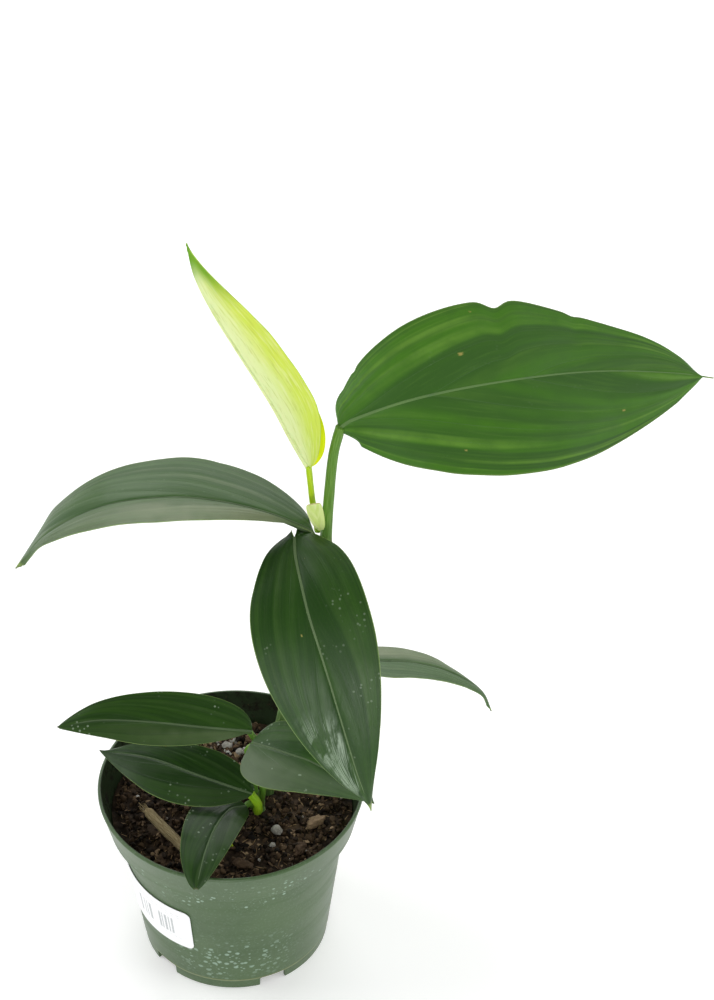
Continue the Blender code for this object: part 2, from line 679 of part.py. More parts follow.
def main():
    """Build every piece of the potted plant."""
    for made in list(bpy.data.objects):
        bpy.data.objects.remove(made, do_unlink=True)
    parts = bpy.data.collections.new("potted_dragon_tail_plant")
    cutters = bpy.data.collections.new("cutters")
    bpy.context.scene.collection.children.link(parts)
    bpy.context.scene.collection.children.link(cutters)
    root = bpy.data.objects.new("pot_axis", None)
    parts.objects.link(root)

    pot(parts, cutters, root)
    label(parts, root)
    earth = soil(parts, root)
    bpy.context.view_layer.update()
    ground = BVHTree.FromObject(earth, bpy.context.evaluated_depsgraph_get())

    for spec in (MAIN_STEM, SIDE_STEM):
        tube(spec, parts, root)
        earth = cut(earth, channel(spec, GAP, parts, cutters, root))
    for spec in roots():
        tube(spec, parts, root)
        earth = cut(earth, channel(spec, 1.0, parts, cutters, root))

    for spec in BLADES:
        blade(spec, parts, root)
    for spec in petioles():
        spec = clear_of_ground(spec, ground)
        tube(spec, parts, root)

    sheath = Blade("leaf_1_sheath", [(39.6, 2.6, 153.5), (38.0, 2.8, 159.5), (36.5, 3.4, 166.5)],
                   (0.0, -1.0, 0.1), (0.0, -1.0, 0.1), Outline(3.3, 0.75, 0.5), Outline(3.3, 0.75, 0.5),
                   10, 10, SHEATH_CREAM, rows=6)
    blade(sheath, parts, root)

    stub = Tube("dry_stub", [(-37.0, -8.0, 2.6), (-28.0, -18.5, 1.2), (-18.5, -29.5, 0.0)], 2.6, 2.9, DRY_TAN, 6)
    tube(lay_on([ground], stub, GAP), parts, root)
    sprout = Tube("sprout", [(1.0, -25.5, 0.0), (0.6, -26.0, 2.2), (-0.6, -26.4, 4.6)], 0.8, 0.4, PETIOLE_LIME, 5)
    first = top_of([ground], 1.0, -25.5, 1.2) + GAP + 0.5
    sprout.route = [(x, y, z + first) for x, y, z in sprout.route]
    tube(sprout, parts, root)

    for seed, (name, x, y, size, stretch, turn, colour) in enumerate(GRAINS):
        grain(name, x, y, size, stretch, turn, seed, colour, ground, parts, root)
    centre_on_origin(parts, root)


def clear_of_ground(spec, ground):
    """Lift the foot of a petiole just enough to clear the soil."""
    lowest = min(point[2] for point in spec.route)
    if lowest > 12:
        return spec
    lifted = []
    for point in spec.route:
        floor = top_of([ground], point[0], point[1], spec.start_radius + 0.5)
        least = floor + spec.start_radius + GAP
        lifted.append(Vector((point[0], point[1], max(point[2], least))))
    spec.route = lifted
    return spec


main()
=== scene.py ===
"""The looks of a potted dragon tail plant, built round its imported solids.

Each sub-assembly is a class with its sizes in millimetres. Routes are given from the middle of the
soil surface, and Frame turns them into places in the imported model's frame, in metres.
"""

from __future__ import annotations

import logging
import math
import random
from dataclasses import dataclass, field, replace
from enum import Enum

import bpy
import numpy as np
from mathutils import Matrix, Vector, noise
from mathutils.bvhtree import BVHTree


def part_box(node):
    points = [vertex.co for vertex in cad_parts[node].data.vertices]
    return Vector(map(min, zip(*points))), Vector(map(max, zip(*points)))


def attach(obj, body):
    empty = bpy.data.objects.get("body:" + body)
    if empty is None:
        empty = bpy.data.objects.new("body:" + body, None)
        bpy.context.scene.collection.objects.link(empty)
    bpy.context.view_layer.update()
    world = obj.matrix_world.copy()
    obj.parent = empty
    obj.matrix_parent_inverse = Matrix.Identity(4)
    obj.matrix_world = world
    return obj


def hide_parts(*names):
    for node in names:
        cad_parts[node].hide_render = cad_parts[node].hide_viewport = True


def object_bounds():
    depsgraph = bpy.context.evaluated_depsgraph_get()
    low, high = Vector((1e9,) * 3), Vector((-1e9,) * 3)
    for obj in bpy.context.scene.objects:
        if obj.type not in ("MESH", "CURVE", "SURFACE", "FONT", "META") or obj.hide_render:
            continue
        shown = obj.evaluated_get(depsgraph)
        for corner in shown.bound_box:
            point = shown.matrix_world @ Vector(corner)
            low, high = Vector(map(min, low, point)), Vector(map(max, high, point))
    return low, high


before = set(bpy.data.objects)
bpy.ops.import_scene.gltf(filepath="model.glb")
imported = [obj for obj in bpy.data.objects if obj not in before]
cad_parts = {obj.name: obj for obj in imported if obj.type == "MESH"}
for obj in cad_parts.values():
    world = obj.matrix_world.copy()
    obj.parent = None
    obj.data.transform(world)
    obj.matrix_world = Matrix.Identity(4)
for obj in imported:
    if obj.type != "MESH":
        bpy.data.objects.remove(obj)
CAD_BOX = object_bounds()

MM = 0.001
MERGE = 1e-6
BODY = "root"
OCTAVE_SHIFT = 7.1
OCTAVE_FADE = 1.8
CURVE_STEPS = 24
VEIN_END = 1.08
VEIN_ROOM = 0.05
Colour = tuple[float, float, float]
Point = tuple[float, float, float]
Socket = bpy.types.NodeSocket
Material = bpy.types.Material
Piece = bpy.types.Object
log = logging.getLogger("potted_plant")


# ---------------------------------------------------------------------------------------------
# Frame and modelling helpers
# ---------------------------------------------------------------------------------------------


class Frame:
    """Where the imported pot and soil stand, which every other place follows."""

    SOIL_BELOW_RIM = 14.0

    def __init__(self) -> None:
        """Read the pot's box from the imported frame."""
        low, high = (Vector(corner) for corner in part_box("pot"))
        self.axis = Vector(((low.x + high.x) / 2, (low.y + high.y) / 2, low.z))
        self.pot_height = (high.z - low.z) / MM
        self.rim_radius = (high.x - low.x) / 2 / MM
        self.soil_level = self.pot_height - self.SOIL_BELOW_RIM

    def on_soil(self, points: np.ndarray) -> np.ndarray:
        """Turn places in mm from the middle of the soil surface into world metres."""
        origin = np.array(self.axis) + np.array((0.0, 0.0, self.soil_level * MM))
        return origin + np.asarray(points, float) * MM

    def on_foot(self, points: np.ndarray) -> np.ndarray:
        """Turn places in mm from the pot's axis at floor level into world metres."""
        return np.array(self.axis) + np.asarray(points, float) * MM


def clear_selection() -> None:
    """Leave no object selected, in object mode."""
    if bpy.context.object and bpy.context.object.mode != "OBJECT":
        bpy.ops.object.mode_set(mode="OBJECT")
    bpy.ops.object.select_all(action="DESELECT")


def choose(piece: Piece) -> None:
    """Make one object the only selected one, and the active one."""
    clear_selection()
    piece.select_set(True)
    bpy.context.view_layer.objects.active = piece


def added(name: str) -> Piece:
    """Name the primitive that an operator has just added.

    Args:
        name: Name of the new piece.

    Returns:
        The new object, selected and active.
    """
    piece = bpy.context.active_object
    piece.name = name
    piece.data.name = name
    return piece


def grid(name: str, rows: int, columns: int) -> Piece:
    """Add a unit grid with its rows along X and its columns along Y.

    Args:
        name: Name of the new piece.
        rows: Faces along X.
        columns: Faces along Y.

    Returns:
        The new object.
    """
    clear_selection()
    bpy.ops.mesh.primitive_grid_add(x_subdivisions=rows, y_subdivisions=columns, size=1.0)
    return added(name)


def coordinates(piece: Piece) -> np.ndarray:
    """Read a mesh's vertices as an array of rows."""
    values = np.empty(len(piece.data.vertices) * 3)
    piece.data.vertices.foreach_get("co", values)
    return values.reshape(-1, 3)


def place(piece: Piece, values: np.ndarray) -> None:
    """Write a mesh's vertices from an array of rows."""
    piece.data.vertices.foreach_set("co", np.asarray(values, float).ravel())
    piece.data.update()


def write_uv(piece: Piece, along: np.ndarray, across: np.ndarray) -> None:
    """Give each corner the along and across value of its vertex as its UV.

    Args:
        piece: A mesh object.
        along: One value for each vertex, for U.
        across: One value for each vertex, for V.
    """
    layer = piece.data.uv_layers.active or piece.data.uv_layers.new(name="UVMap")
    corners = np.empty(len(piece.data.loops), dtype=np.int32)
    piece.data.loops.foreach_get("vertex_index", corners)
    layer.data.foreach_set("uv", np.stack([along[corners], across[corners]], axis=1).ravel())


def add_modifier(piece: Piece, kind: str, **settings: object) -> None:
    """Add a modifier with the given settings and apply it.

    Args:
        piece: A mesh object.
        kind: Blender's name of the modifier type.
        settings: Attributes of the modifier.
    """
    choose(piece)
    modifier = piece.modifiers.new(kind.lower(), kind)
    for key, value in settings.items():
        setattr(modifier, key, value)
    bpy.ops.object.modifier_apply(modifier=modifier.name)


def tidy_shell(piece: Piece, fill: bool = True) -> None:
    """Merge a mesh's doubles, close its holes and turn its faces outwards.

    Args:
        piece: A mesh object.
        fill: Whether open loops are capped.
    """
    choose(piece)
    bpy.ops.object.mode_set(mode="EDIT")
    bpy.ops.mesh.select_all(action="SELECT")
    bpy.ops.mesh.remove_doubles(threshold=MERGE)
    if fill:
        bpy.ops.mesh.fill_holes(sides=0)
    bpy.ops.mesh.normals_make_consistent(inside=False)
    bpy.ops.object.mode_set(mode="OBJECT")


def smooth(piece: Piece, degrees: float | None = None) -> None:
    """Shade a piece smooth, with edges over an angle kept sharp.

    Args:
        piece: A mesh object.
        degrees: The least angle of a sharp edge, or None for none.
    """
    choose(piece)
    if degrees is None:
        bpy.ops.object.shade_smooth()
    else:
        bpy.ops.object.shade_smooth_by_angle(angle=math.radians(degrees))


def settle(piece: Piece, slot: str, *nodes: str) -> Piece:
    """Hand a finished piece to the frame: its body and the solids it stands for.

    Args:
        piece: The finished object.
        slot: Not used.
        nodes: CAD nodes that the piece replaces.

    Returns:
        The same object.
    """
    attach(piece, BODY)
    if nodes:
        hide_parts(*nodes)
    log.info("%s: %d faces, for %s", piece.name, len(piece.data.polygons), ", ".join(nodes) or "no solid")
    return piece


def dress(piece: Piece, *materials: Material) -> None:
    """Replace a piece's material slots."""
    piece.data.materials.clear()
    for material in materials:
        piece.data.materials.append(material)


def sample_noise(points: np.ndarray, size: float, seed: float = 0.0, octaves: int = 1) -> np.ndarray:
    """Smooth noise between about -1 and 1 at places in mm.

    Args:
        points: Rows of x, y, z in mm.
        size: Size of a lump in mm.
        seed: Offset that picks another pattern.
        octaves: How many finer layers are added.

    Returns:
        One value for each row.
    """
    values = np.zeros(len(points))
    for octave in range(octaves):
        scale = size / 2**octave
        shift = Vector((seed + octave * OCTAVE_SHIFT, seed * 0.7, -seed))
        layer = [noise.noise(Vector(point) / scale + shift) for point in points]
        values += np.array(layer) / OCTAVE_FADE**octave
    return values


def smooth_route(points: list[Point], count: int, spread: float = 0.0) -> np.ndarray:
    """Points along a smooth curve through the given ones, even or closer at both ends.

    Args:
        points: The route's own points in mm.
        count: How many points to return.
        spread: 0 for even spacing, towards 1 for closer points at both ends.

    Returns:
        Rows of x, y, z in mm.
    """
    knots = np.array([tuple(point) for point in points], float)
    times = np.concatenate([[0.0], np.cumsum(np.linalg.norm(np.diff(knots, axis=0), axis=1))])
    slopes = np.empty_like(knots)
    for index in range(len(knots)):
        low, high = max(index - 1, 0), min(index + 1, len(knots) - 1)
        slopes[index] = (knots[high] - knots[low]) / (times[high] - times[low])
    fine = []
    for index in range(len(knots) - 1):
        span = times[index + 1] - times[index]
        t = np.arange(CURVE_STEPS)[:, None] / CURVE_STEPS
        fine.append(knots[index] * (2 * t**3 - 3 * t**2 + 1) + slopes[index] * (t**3 - 2 * t**2 + t) * span
                    + knots[index + 1] * (-2 * t**3 + 3 * t**2) + slopes[index + 1] * (t**3 - t**2) * span)
    fine = np.vstack([*fine, knots[-1:]])
    lengths = np.concatenate([[0.0], np.cumsum(np.linalg.norm(np.diff(fine, axis=0), axis=1))])
    even = np.linspace(0.0, 1.0, count)
    eased = 0.5 - 0.5 * np.cos(np.pi * even)
    goals = lengths[-1] * (even * (1 - spread) + eased * spread)
    return np.stack([np.interp(goals, lengths, fine[:, axis]) for axis in range(3)], axis=1)


def unit(vectors: np.ndarray) -> np.ndarray:
    """Scale rows to length one."""
    return vectors / np.maximum(np.linalg.norm(vectors, axis=-1, keepdims=True), 1e-12)


def run_of(route: np.ndarray) -> np.ndarray:
    """Distance along a route at each of its points, in its own unit."""
    return np.concatenate([[0.0], np.cumsum(np.linalg.norm(np.diff(route, axis=0), axis=1))])


def headings(route: np.ndarray) -> np.ndarray:
    """Direction of a route at each of its points."""
    ahead = np.vstack([route[1:], route[-1:]]) - np.vstack([route[:1], route[:-1]])
    return unit(ahead)


# ---------------------------------------------------------------------------------------------
# Node materials
# ---------------------------------------------------------------------------------------------


class Sheet:
    """A node material under construction: each method adds a node and returns its output."""

    def __init__(self, name: str, colour: Colour, roughness: float, **settings: float) -> None:
        """Start a Principled material.

        Args:
            name: The material's name.
            colour: Plain base colour.
            roughness: Plain roughness.
            settings: Other sockets of the shader by name, with underscores for spaces.
        """
        self.material = bpy.data.materials.new(name)
        self.material.use_nodes = True
        self.material.diffuse_color = (*colour, 1.0)
        self.tree = self.material.node_tree
        self.shader = self.tree.nodes["Principled BSDF"]
        self.shader.inputs["Base Color"].default_value = (*colour, 1.0)
        self.shader.inputs["Roughness"].default_value = roughness
        for key, value in settings.items():
            self.shader.inputs[key.replace("_", " ")].default_value = value

    def add(self, kind: str, **inputs: object) -> bpy.types.Node:
        """Add a node and set or link its inputs.

        Args:
            kind: Node type without its ShaderNode prefix.
            inputs: Input sockets by name or by i and index, each a value or an output.

        Returns:
            The node.
        """
        node = self.tree.nodes.new("ShaderNode" + kind)
        for key, value in inputs.items():
            socket = node.inputs[int(key[1:])] if key[0] == "i" and key[1:].isdigit() else node.inputs[key]
            self.put(socket, value)
        return node

    def put(self, socket: Socket, value: object) -> None:
        """Set or link one socket."""
        if isinstance(value, Socket):
            self.tree.links.new(value, socket)
        elif isinstance(value, tuple) and len(value) == 3 and socket.type == "RGBA":
            socket.default_value = (*value, 1.0)
        else:
            socket.default_value = value

    def places(self) -> Socket:
        """Object coordinates."""
        return self.add("TexCoord").outputs["Object"]

    def stretched(self, scale: Point) -> Socket:
        """Object coordinates scaled on each axis."""
        return self.add("Mapping", Vector=self.places(), Scale=scale).outputs["Vector"]

    def surface(self) -> tuple[Socket, Socket]:
        """The piece's own UV, as its along and across values."""
        split = self.add("SeparateXYZ", Vector=self.add("TexCoord").outputs["UV"])
        return split.outputs["X"], split.outputs["Y"]

    def math(self, kind: str, first: object, second: object = 0.0, third: object = 0.0) -> Socket:
        """One step of arithmetic."""
        node = self.tree.nodes.new("ShaderNodeMath")
        node.operation = kind
        for socket, value in zip(node.inputs, (first, second, third)):
            self.put(socket, value)
        return node.outputs[0]

    def times(self, first: object, *others: object) -> Socket:
        """The product of several values."""
        for other in others:
            first = self.math("MULTIPLY", first, other)
        return first

    def off_middle(self, middle: object) -> Socket:
        """How far a point lies across the surface from a line along it."""
        return self.math("ABSOLUTE", self.math("SUBTRACT", self.surface()[1], middle))

    def vector(self, x: object, y: object, z: object = 0.0) -> Socket:
        """A vector from three values."""
        return self.add("CombineXYZ", X=x, Y=y, Z=z).outputs["Vector"]

    def remap(self, value: object, low: float, high: float, to_low: float = 0.0, to_high: float = 1.0,
              soft: bool = True) -> Socket:
        """Map a range onto another, clamped."""
        node = self.add("MapRange", i0=value, i1=low, i2=high, i3=to_low, i4=to_high)
        node.interpolation_type = "SMOOTHSTEP" if soft else "LINEAR"
        return node.outputs[0]

    def between(self, value: object, low: float, full: float, fading: float, high: float) -> Socket:
        """One inside a range and nothing outside it, with soft ends."""
        return self.times(self.remap(value, low, full), self.remap(value, fading, high, 1.0, 0.0))

    def noise(self, scale: float, detail: float = 2.0, roughness: float = 0.5, at: object = None) -> Socket:
        """Noise on object coordinates or on a given vector."""
        vector = self.places() if at is None else at
        node = self.add("TexNoise", Vector=vector, Scale=scale, Detail=detail, Roughness=roughness)
        return node.outputs["Fac"]

    def cells(self, at: object, scale: float) -> Socket:
        """Distance to the nearest of many scattered points."""
        return self.add("TexVoronoi", Vector=at, Scale=scale).outputs["Distance"]

    def mix(self, share: object, first: object, second: object) -> Socket:
        """Blend two colours."""
        node = self.tree.nodes.new("ShaderNodeMix")
        node.data_type = "RGBA"
        self.put(node.inputs[0], share)
        self.put(node.inputs[6], first)
        self.put(node.inputs[7], second)
        return node.outputs[2]

    def ramp(self, value: object, *stops: tuple[float, Colour]) -> Socket:
        """Colours along a value."""
        node = self.add("ValToRGB", Fac=value)
        elements = node.color_ramp.elements
        while len(elements) < len(stops):
            elements.new(0.5)
        for element, (position, colour) in zip(elements, stops):
            element.position = position
            element.color = (*colour, 1.0)
        return node.outputs["Color"]

    def bump(self, height: object, depth_mm: float, strength: float = 1.0, over: object = None) -> Socket:
        """Turn a height into a normal."""
        node = self.add("Bump", Height=height, Distance=depth_mm * MM, Strength=strength)
        if over is not None:
            self.put(node.inputs["Normal"], over)
        return node.outputs["Normal"]

    def finish(self, **sockets: object) -> Material:
        """Link the shader's sockets by name and return the material."""
        for key, value in sockets.items():
            self.put(self.shader.inputs[key.replace("_", " ")], value)
        return self.material


# ---------------------------------------------------------------------------------------------
# Finishes
# ---------------------------------------------------------------------------------------------


@dataclass(frozen=True)
class LeafFinish:
    """The skin of a leaf blade: its greens, how its veins run, its gloss, its painted sheen and painted
    highlight streaks, and its marks.
    """

    name: str
    deep: Colour
    green: Colour
    pale: Colour
    vein: Colour
    under: Colour
    margin: Colour = (0.42, 0.55, 0.13)
    tip: Colour = (0.24, 0.34, 0.09)
    tip_from: float = 0.965
    lean: float = 0.5
    veins: int = 7
    vein_strength: float = 0.35
    midrib_strength: float = 0.6
    bands: float = 0.45
    roughness: float = 0.42
    specular: float = 0.30
    # streak_gloss lowers the roughness in the streaks and switches on the painted highlight streaks, which
    # get their own colour.
    streak_gloss: float = 0.0
    painted_highlight_colour: Colour = (0.36, 0.46, 0.34)
    specks: float = 0.25
    speck_colour: Colour = (0.30, 0.38, 0.27)
    # Painted sheen: a pale grey-green film put into the colour in place of the sheen of reflected light, its
    # strength, its half and its colour.
    painted_sheen: float = 0.0
    painted_sheen_half: float = 0.0
    painted_sheen_colour: Colour = (0.110, 0.150, 0.090)
    scars: tuple[tuple[float, float, float], ...] = ()
    scar_colour: Colour = (0.42, 0.36, 0.10)

    def flow(self, sheet: Sheet) -> tuple[Socket, Socket, Socket, Socket]:
        """Where a point lies on the blade: along, off the midrib, its vein line, and its streak place.

        Args:
            sheet: The material being built.

        Returns:
            The along value, the off-midrib share, the vein line value and a vector along the veins.
        """
        along, across = sheet.surface()
        off = sheet.math("ABSOLUTE", sheet.math("MULTIPLY_ADD", across, 2.0, -1.0))
        room = sheet.math("MAXIMUM", sheet.math("MULTIPLY_ADD", off, -1 / VEIN_END, 1.0), VEIN_ROOM)
        line = sheet.math("MULTIPLY_ADD", sheet.math("LOGARITHM", room, math.e), self.lean, along)
        half = sheet.math("GREATER_THAN", across, 0.5)
        return along, off, line, sheet.vector(line, sheet.times(along, 0.22), half)

    def greens(self, sheet: Sheet, streak: Socket, fine: Socket) -> Socket:
        """The ground colour: broad bands along the veins, with pale patches that are partly the leaf's own
        tone and partly painted sheen, and finer streaks and mottling over them.

        Args:
            sheet: The material being built.
            streak: A vector along the veins.
            fine: Fine noise along the veins.

        Returns:
            The colour.
        """
        broad = sheet.remap(sheet.noise(3.2, 2.0, 0.5, at=streak), 0.38, 0.62)
        colour = sheet.mix(broad, self.deep, self.green)
        # Pale patches: partly the leaf's own tone, partly painted sheen.
        pale_tone_and_sheen = sheet.remap(sheet.noise(4.4, 2.0, 0.5, at=streak), 0.46, 0.70)
        cloud = sheet.remap(sheet.noise(38.0, 3.0, 0.55), 0.32, 0.6, 0.25, 1.0)
        colour = sheet.mix(sheet.times(pale_tone_and_sheen, cloud, self.bands), colour, self.pale)
        mottle = sheet.remap(sheet.noise(95.0, 4.0, 0.6), 0.38, 0.72, 0.0, 0.35)
        colour = sheet.mix(mottle, colour, self.deep)
        return sheet.mix(sheet.remap(fine, 0.50, 0.72, 0.0, 0.16), colour, self.pale)

    def painted_sheen_share(self, sheet: Sheet, along: Socket) -> Socket:
        """Share of the painted sheen that lies on one half of the blade, from its base."""
        half = sheet.remap(sheet.off_middle(self.painted_sheen_half), 0.30, 0.505, 1.0, 0.0, soft=False)
        patchy = sheet.remap(sheet.noise(30.0, 3.0, 0.6), 0.30, 0.62, 0.25, 1.0)
        return sheet.times(half, patchy, sheet.remap(along, 0.30, 0.85, self.painted_sheen, self.painted_sheen * 0.2))

    def painted_highlight_streaks(self, sheet: Sheet, along: Socket, off: Socket, fine: Socket) -> Socket:
        """Share of the painted highlight streaks on the right half of the blade, over its last third.

        Args:
            sheet: The material being built.
            along: The along value.
            off: The off-midrib share.
            fine: Fine noise along the veins.

        Returns:
            The share.
        """
        lower = sheet.between(along, 0.56, 0.72, 0.88, 0.97)
        right_half = sheet.remap(sheet.surface()[1], 0.52, 0.58)
        clear_edge = sheet.remap(off, 0.72, 0.96, 1.0, 0.0)
        highlight_streak_noise = sheet.noise(260.0, 3.0, 0.6, at=sheet.stretched((1.0, 1.0, 0.3)))
        # Streaky mask of the painted highlight.
        worn = sheet.times(sheet.remap(fine, 0.40, 0.58), sheet.remap(highlight_streak_noise, 0.40, 0.60))
        return sheet.times(lower, right_half, clear_edge, worn)

    def laterals(self, sheet: Sheet, line: Socket, off: Socket, width: float, strength: float,
                 fade: tuple[float, float]) -> Socket:
        """Share of the side veins, which fade towards the edge.

        Args:
            sheet: The material being built.
            line: The vein line value.
            off: The off-midrib share.
            width: Width of a vein, as a share of the gap between two.
            strength: Share at the middle of a vein.
            fade: Where off the midrib the veins start to fade and are gone.

        Returns:
            The share.
        """
        wave = sheet.math("PINGPONG", sheet.times(line, float(self.veins)), 0.5)
        return sheet.times(sheet.remap(wave, 0.0, width, strength, 0.0), sheet.remap(off, *fade, 1.0, 0.0))

    def marked(self, sheet: Sheet, colour: Socket, along: Socket) -> Socket:
        """The colour with its dried specks and its small tan scars.

        Args:
            sheet: The material being built.
            colour: The colour without them.
            along: The along value.

        Returns:
            The colour.
        """
        dots = sheet.remap(sheet.cells(sheet.places(), 420.0), 0.13, 0.26, 1.0, 0.0)
        clumps = sheet.remap(sheet.noise(70.0, 2.0), 0.56, 0.66, 0.0, self.specks)
        colour = sheet.mix(sheet.times(dots, clumps), colour, self.speck_colour)
        for centre, side, size in self.scars:
            length = sheet.math("ABSOLUTE", sheet.math("SUBTRACT", along, centre))
            far = sheet.math("MAXIMUM", length, sheet.times(sheet.off_middle(side), 0.7))
            rough_edge = sheet.math("MULTIPLY_ADD", sheet.noise(420.0, 2.0), size * 2.2, far)
            colour = sheet.mix(sheet.remap(rough_edge, size, size * 2.1, 0.85, 0.0), colour, self.scar_colour)
        return colour

    def upper(self) -> Material:
        """The upper skin, with its painted sheen and painted highlight streaks where its finish has them."""
        sheet = Sheet(self.name + "_upper", self.green, self.roughness, Specular_IOR_Level=self.specular)
        along, off, line, streak = self.flow(sheet)
        fine = sheet.noise(30.0, 4.0, 0.6, at=streak)
        colour = self.greens(sheet, streak, fine)
        # Painted sheen: a grey-green film mixed into the colour on one half of the blade.
        if self.painted_sheen:
            colour = sheet.mix(self.painted_sheen_share(sheet, along), colour, self.painted_sheen_colour)
        # Painted highlight: pale streaks mixed into the colour where the blade would mirror the front lamp.
        painted_highlight = self.painted_highlight_streaks(sheet, along, off, fine) if self.streak_gloss else None
        if painted_highlight is not None:
            colour = sheet.mix(sheet.times(painted_highlight, 0.70), colour, self.painted_highlight_colour)
        lateral = self.laterals(sheet, line, off, 0.022, 1.0, (0.4, 0.95))
        colour = sheet.mix(sheet.times(lateral, self.vein_strength), colour, self.vein)
        midrib = sheet.times(sheet.remap(off, 0.003, 0.014, 1.0, 0.0), sheet.remap(along, 0.0, 0.7, 1.0, 0.3))
        colour = sheet.mix(sheet.times(midrib, self.midrib_strength), colour, self.vein)
        at_tip = sheet.remap(along, self.tip_from, self.tip_from + 0.02, 0.0, 0.9)
        colour = sheet.mix(at_tip, colour, self.tip)
        colour = sheet.mix(sheet.remap(off, 0.980, 0.994, 0.0, 0.7), colour, self.margin)
        colour = self.marked(sheet, colour, along)
        pores = sheet.bump(sheet.noise(1800.0, 3.0), 0.03, 0.4)
        normal = sheet.bump(sheet.math("MULTIPLY_ADD", lateral, -0.7, fine), 0.13, 0.5, pores)
        gloss = sheet.remap(fine, 0.35, 0.7, self.roughness - 0.05, self.roughness + 0.10)
        if painted_highlight is not None:
            puckers = sheet.noise(150.0, 3.0, 0.6, at=sheet.stretched((1.0, 1.0, 0.45)))
            normal = sheet.bump(sheet.times(puckers, sheet.remap(along, 0.42, 0.7)), 0.9, 0.7, normal)
            gloss = sheet.math("MULTIPLY_ADD", painted_highlight, -self.streak_gloss, gloss)
        return sheet.finish(Base_Color=colour, Roughness=gloss, Normal=normal)

    def below(self) -> Material:
        """The duller skin of the underside."""
        sheet = Sheet(self.name + "_under", self.under, 0.55, Specular_IOR_Level=0.25)
        _, off, line, streak = self.flow(sheet)
        tint = sheet.remap(sheet.noise(9.0, 3.0, at=streak), 0.35, 0.68)
        lighter = tuple(min(1.0, part * 1.25 + 0.01) for part in self.under)
        colour = sheet.mix(tint, self.under, lighter)
        lateral = self.laterals(sheet, line, off, 0.06, 0.5, (0.6, 1.0))
        colour = sheet.mix(lateral, colour, self.vein)
        colour = sheet.mix(sheet.remap(off, 0.02, 0.06, 0.6, 0.0), colour, self.vein)
        normal = sheet.bump(sheet.math("ADD", lateral, sheet.noise(900.0, 2.0)), 0.12, 0.5)
        return sheet.finish(Base_Color=colour, Normal=normal)

    def edge(self) -> Material:
        """The thin pale margin."""
        sheet = Sheet(self.name + "_margin", self.margin, 0.5, Specular_IOR_Level=0.3,
                      Subsurface_Weight=0.1, Subsurface_Scale=0.001)
        along, _ = sheet.surface()
        worn = sheet.remap(sheet.noise(160.0, 2.0), 0.4, 0.7, 0.0, 0.6)
        colour = sheet.mix(worn, self.margin, self.green)
        return sheet.finish(Base_Color=sheet.mix(sheet.remap(along, 0.95, 1.0), colour, self.tip))


@dataclass(frozen=True)
class NewLeafFinish:
    """The soft skin of the folded new leaf, pale outside and bright inside."""

    outside: Colour = (0.58, 0.73, 0.09)
    outside_pale: Colour = (0.76, 0.84, 0.42)
    inside: Colour = (0.72, 0.86, 0.002)
    tip: Colour = (0.15, 0.37, 0.018)
    edge_light: Colour = (0.50, 0.68, 0.12)
    edge_green: Colour = (0.36, 0.56, 0.06)
    lean: float = 0.5
    veins: int = 6

    def skin(self, name: str, base: Colour, pale: Colour) -> Material:
        """One side of the new leaf.

        Args:
            name: The material's name.
            base: Colour near the free edge.
            pale: Colour near the midrib.

        Returns:
            The material.
        """
        sheet = Sheet(name, base, 0.5, Specular_IOR_Level=0.12, Subsurface_Weight=0.1, Subsurface_Scale=0.003)
        along, across = sheet.surface()
        off = sheet.math("ABSOLUTE", sheet.math("MULTIPLY_ADD", across, 2.0, -1.0))
        streak = sheet.vector(off, sheet.times(along, 0.5), 0.3)
        colour = sheet.mix(sheet.remap(off, 0.05, 0.75), pale, base)
        soft_streaks = sheet.remap(sheet.noise(13.0, 3.0, 0.6, at=streak), 0.45, 0.72, 0.0, 0.55)
        colour = sheet.mix(soft_streaks, colour, pale)
        dark_streaks = sheet.remap(sheet.noise(24.0, 3.0, 0.6, at=streak), 0.5, 0.7, 0.0, 0.45)
        colour = sheet.mix(dark_streaks, colour, tuple(part * 0.72 for part in base))
        green_end = sheet.times(sheet.remap(along, 0.70, 0.92), sheet.remap(off, 0.1, 0.8))
        colour = sheet.mix(green_end, colour, self.tip)
        colour = sheet.mix(sheet.remap(along, 0.82, 0.95), colour, self.tip)
        normal = sheet.bump(sheet.noise(30.0, 3.0, at=streak), 0.2, 0.4)
        return sheet.finish(Base_Color=colour, Normal=normal)

    def upper(self) -> Material:
        """The inner face of the fold."""
        return self.skin("new_leaf_inside", self.inside, self.inside)

    def below(self) -> Material:
        """The outer face of the fold."""
        return self.skin("new_leaf_outside", self.outside, self.outside_pale)

    def edge(self) -> Material:
        """The free edge."""
        sheet = Sheet("new_leaf_edge", self.edge_light, 0.5, Specular_IOR_Level=0.3)
        worn = sheet.remap(sheet.noise(150.0, 2.0), 0.4, 0.7)
        return sheet.finish(Base_Color=sheet.mix(worn, self.edge_light, self.edge_green))


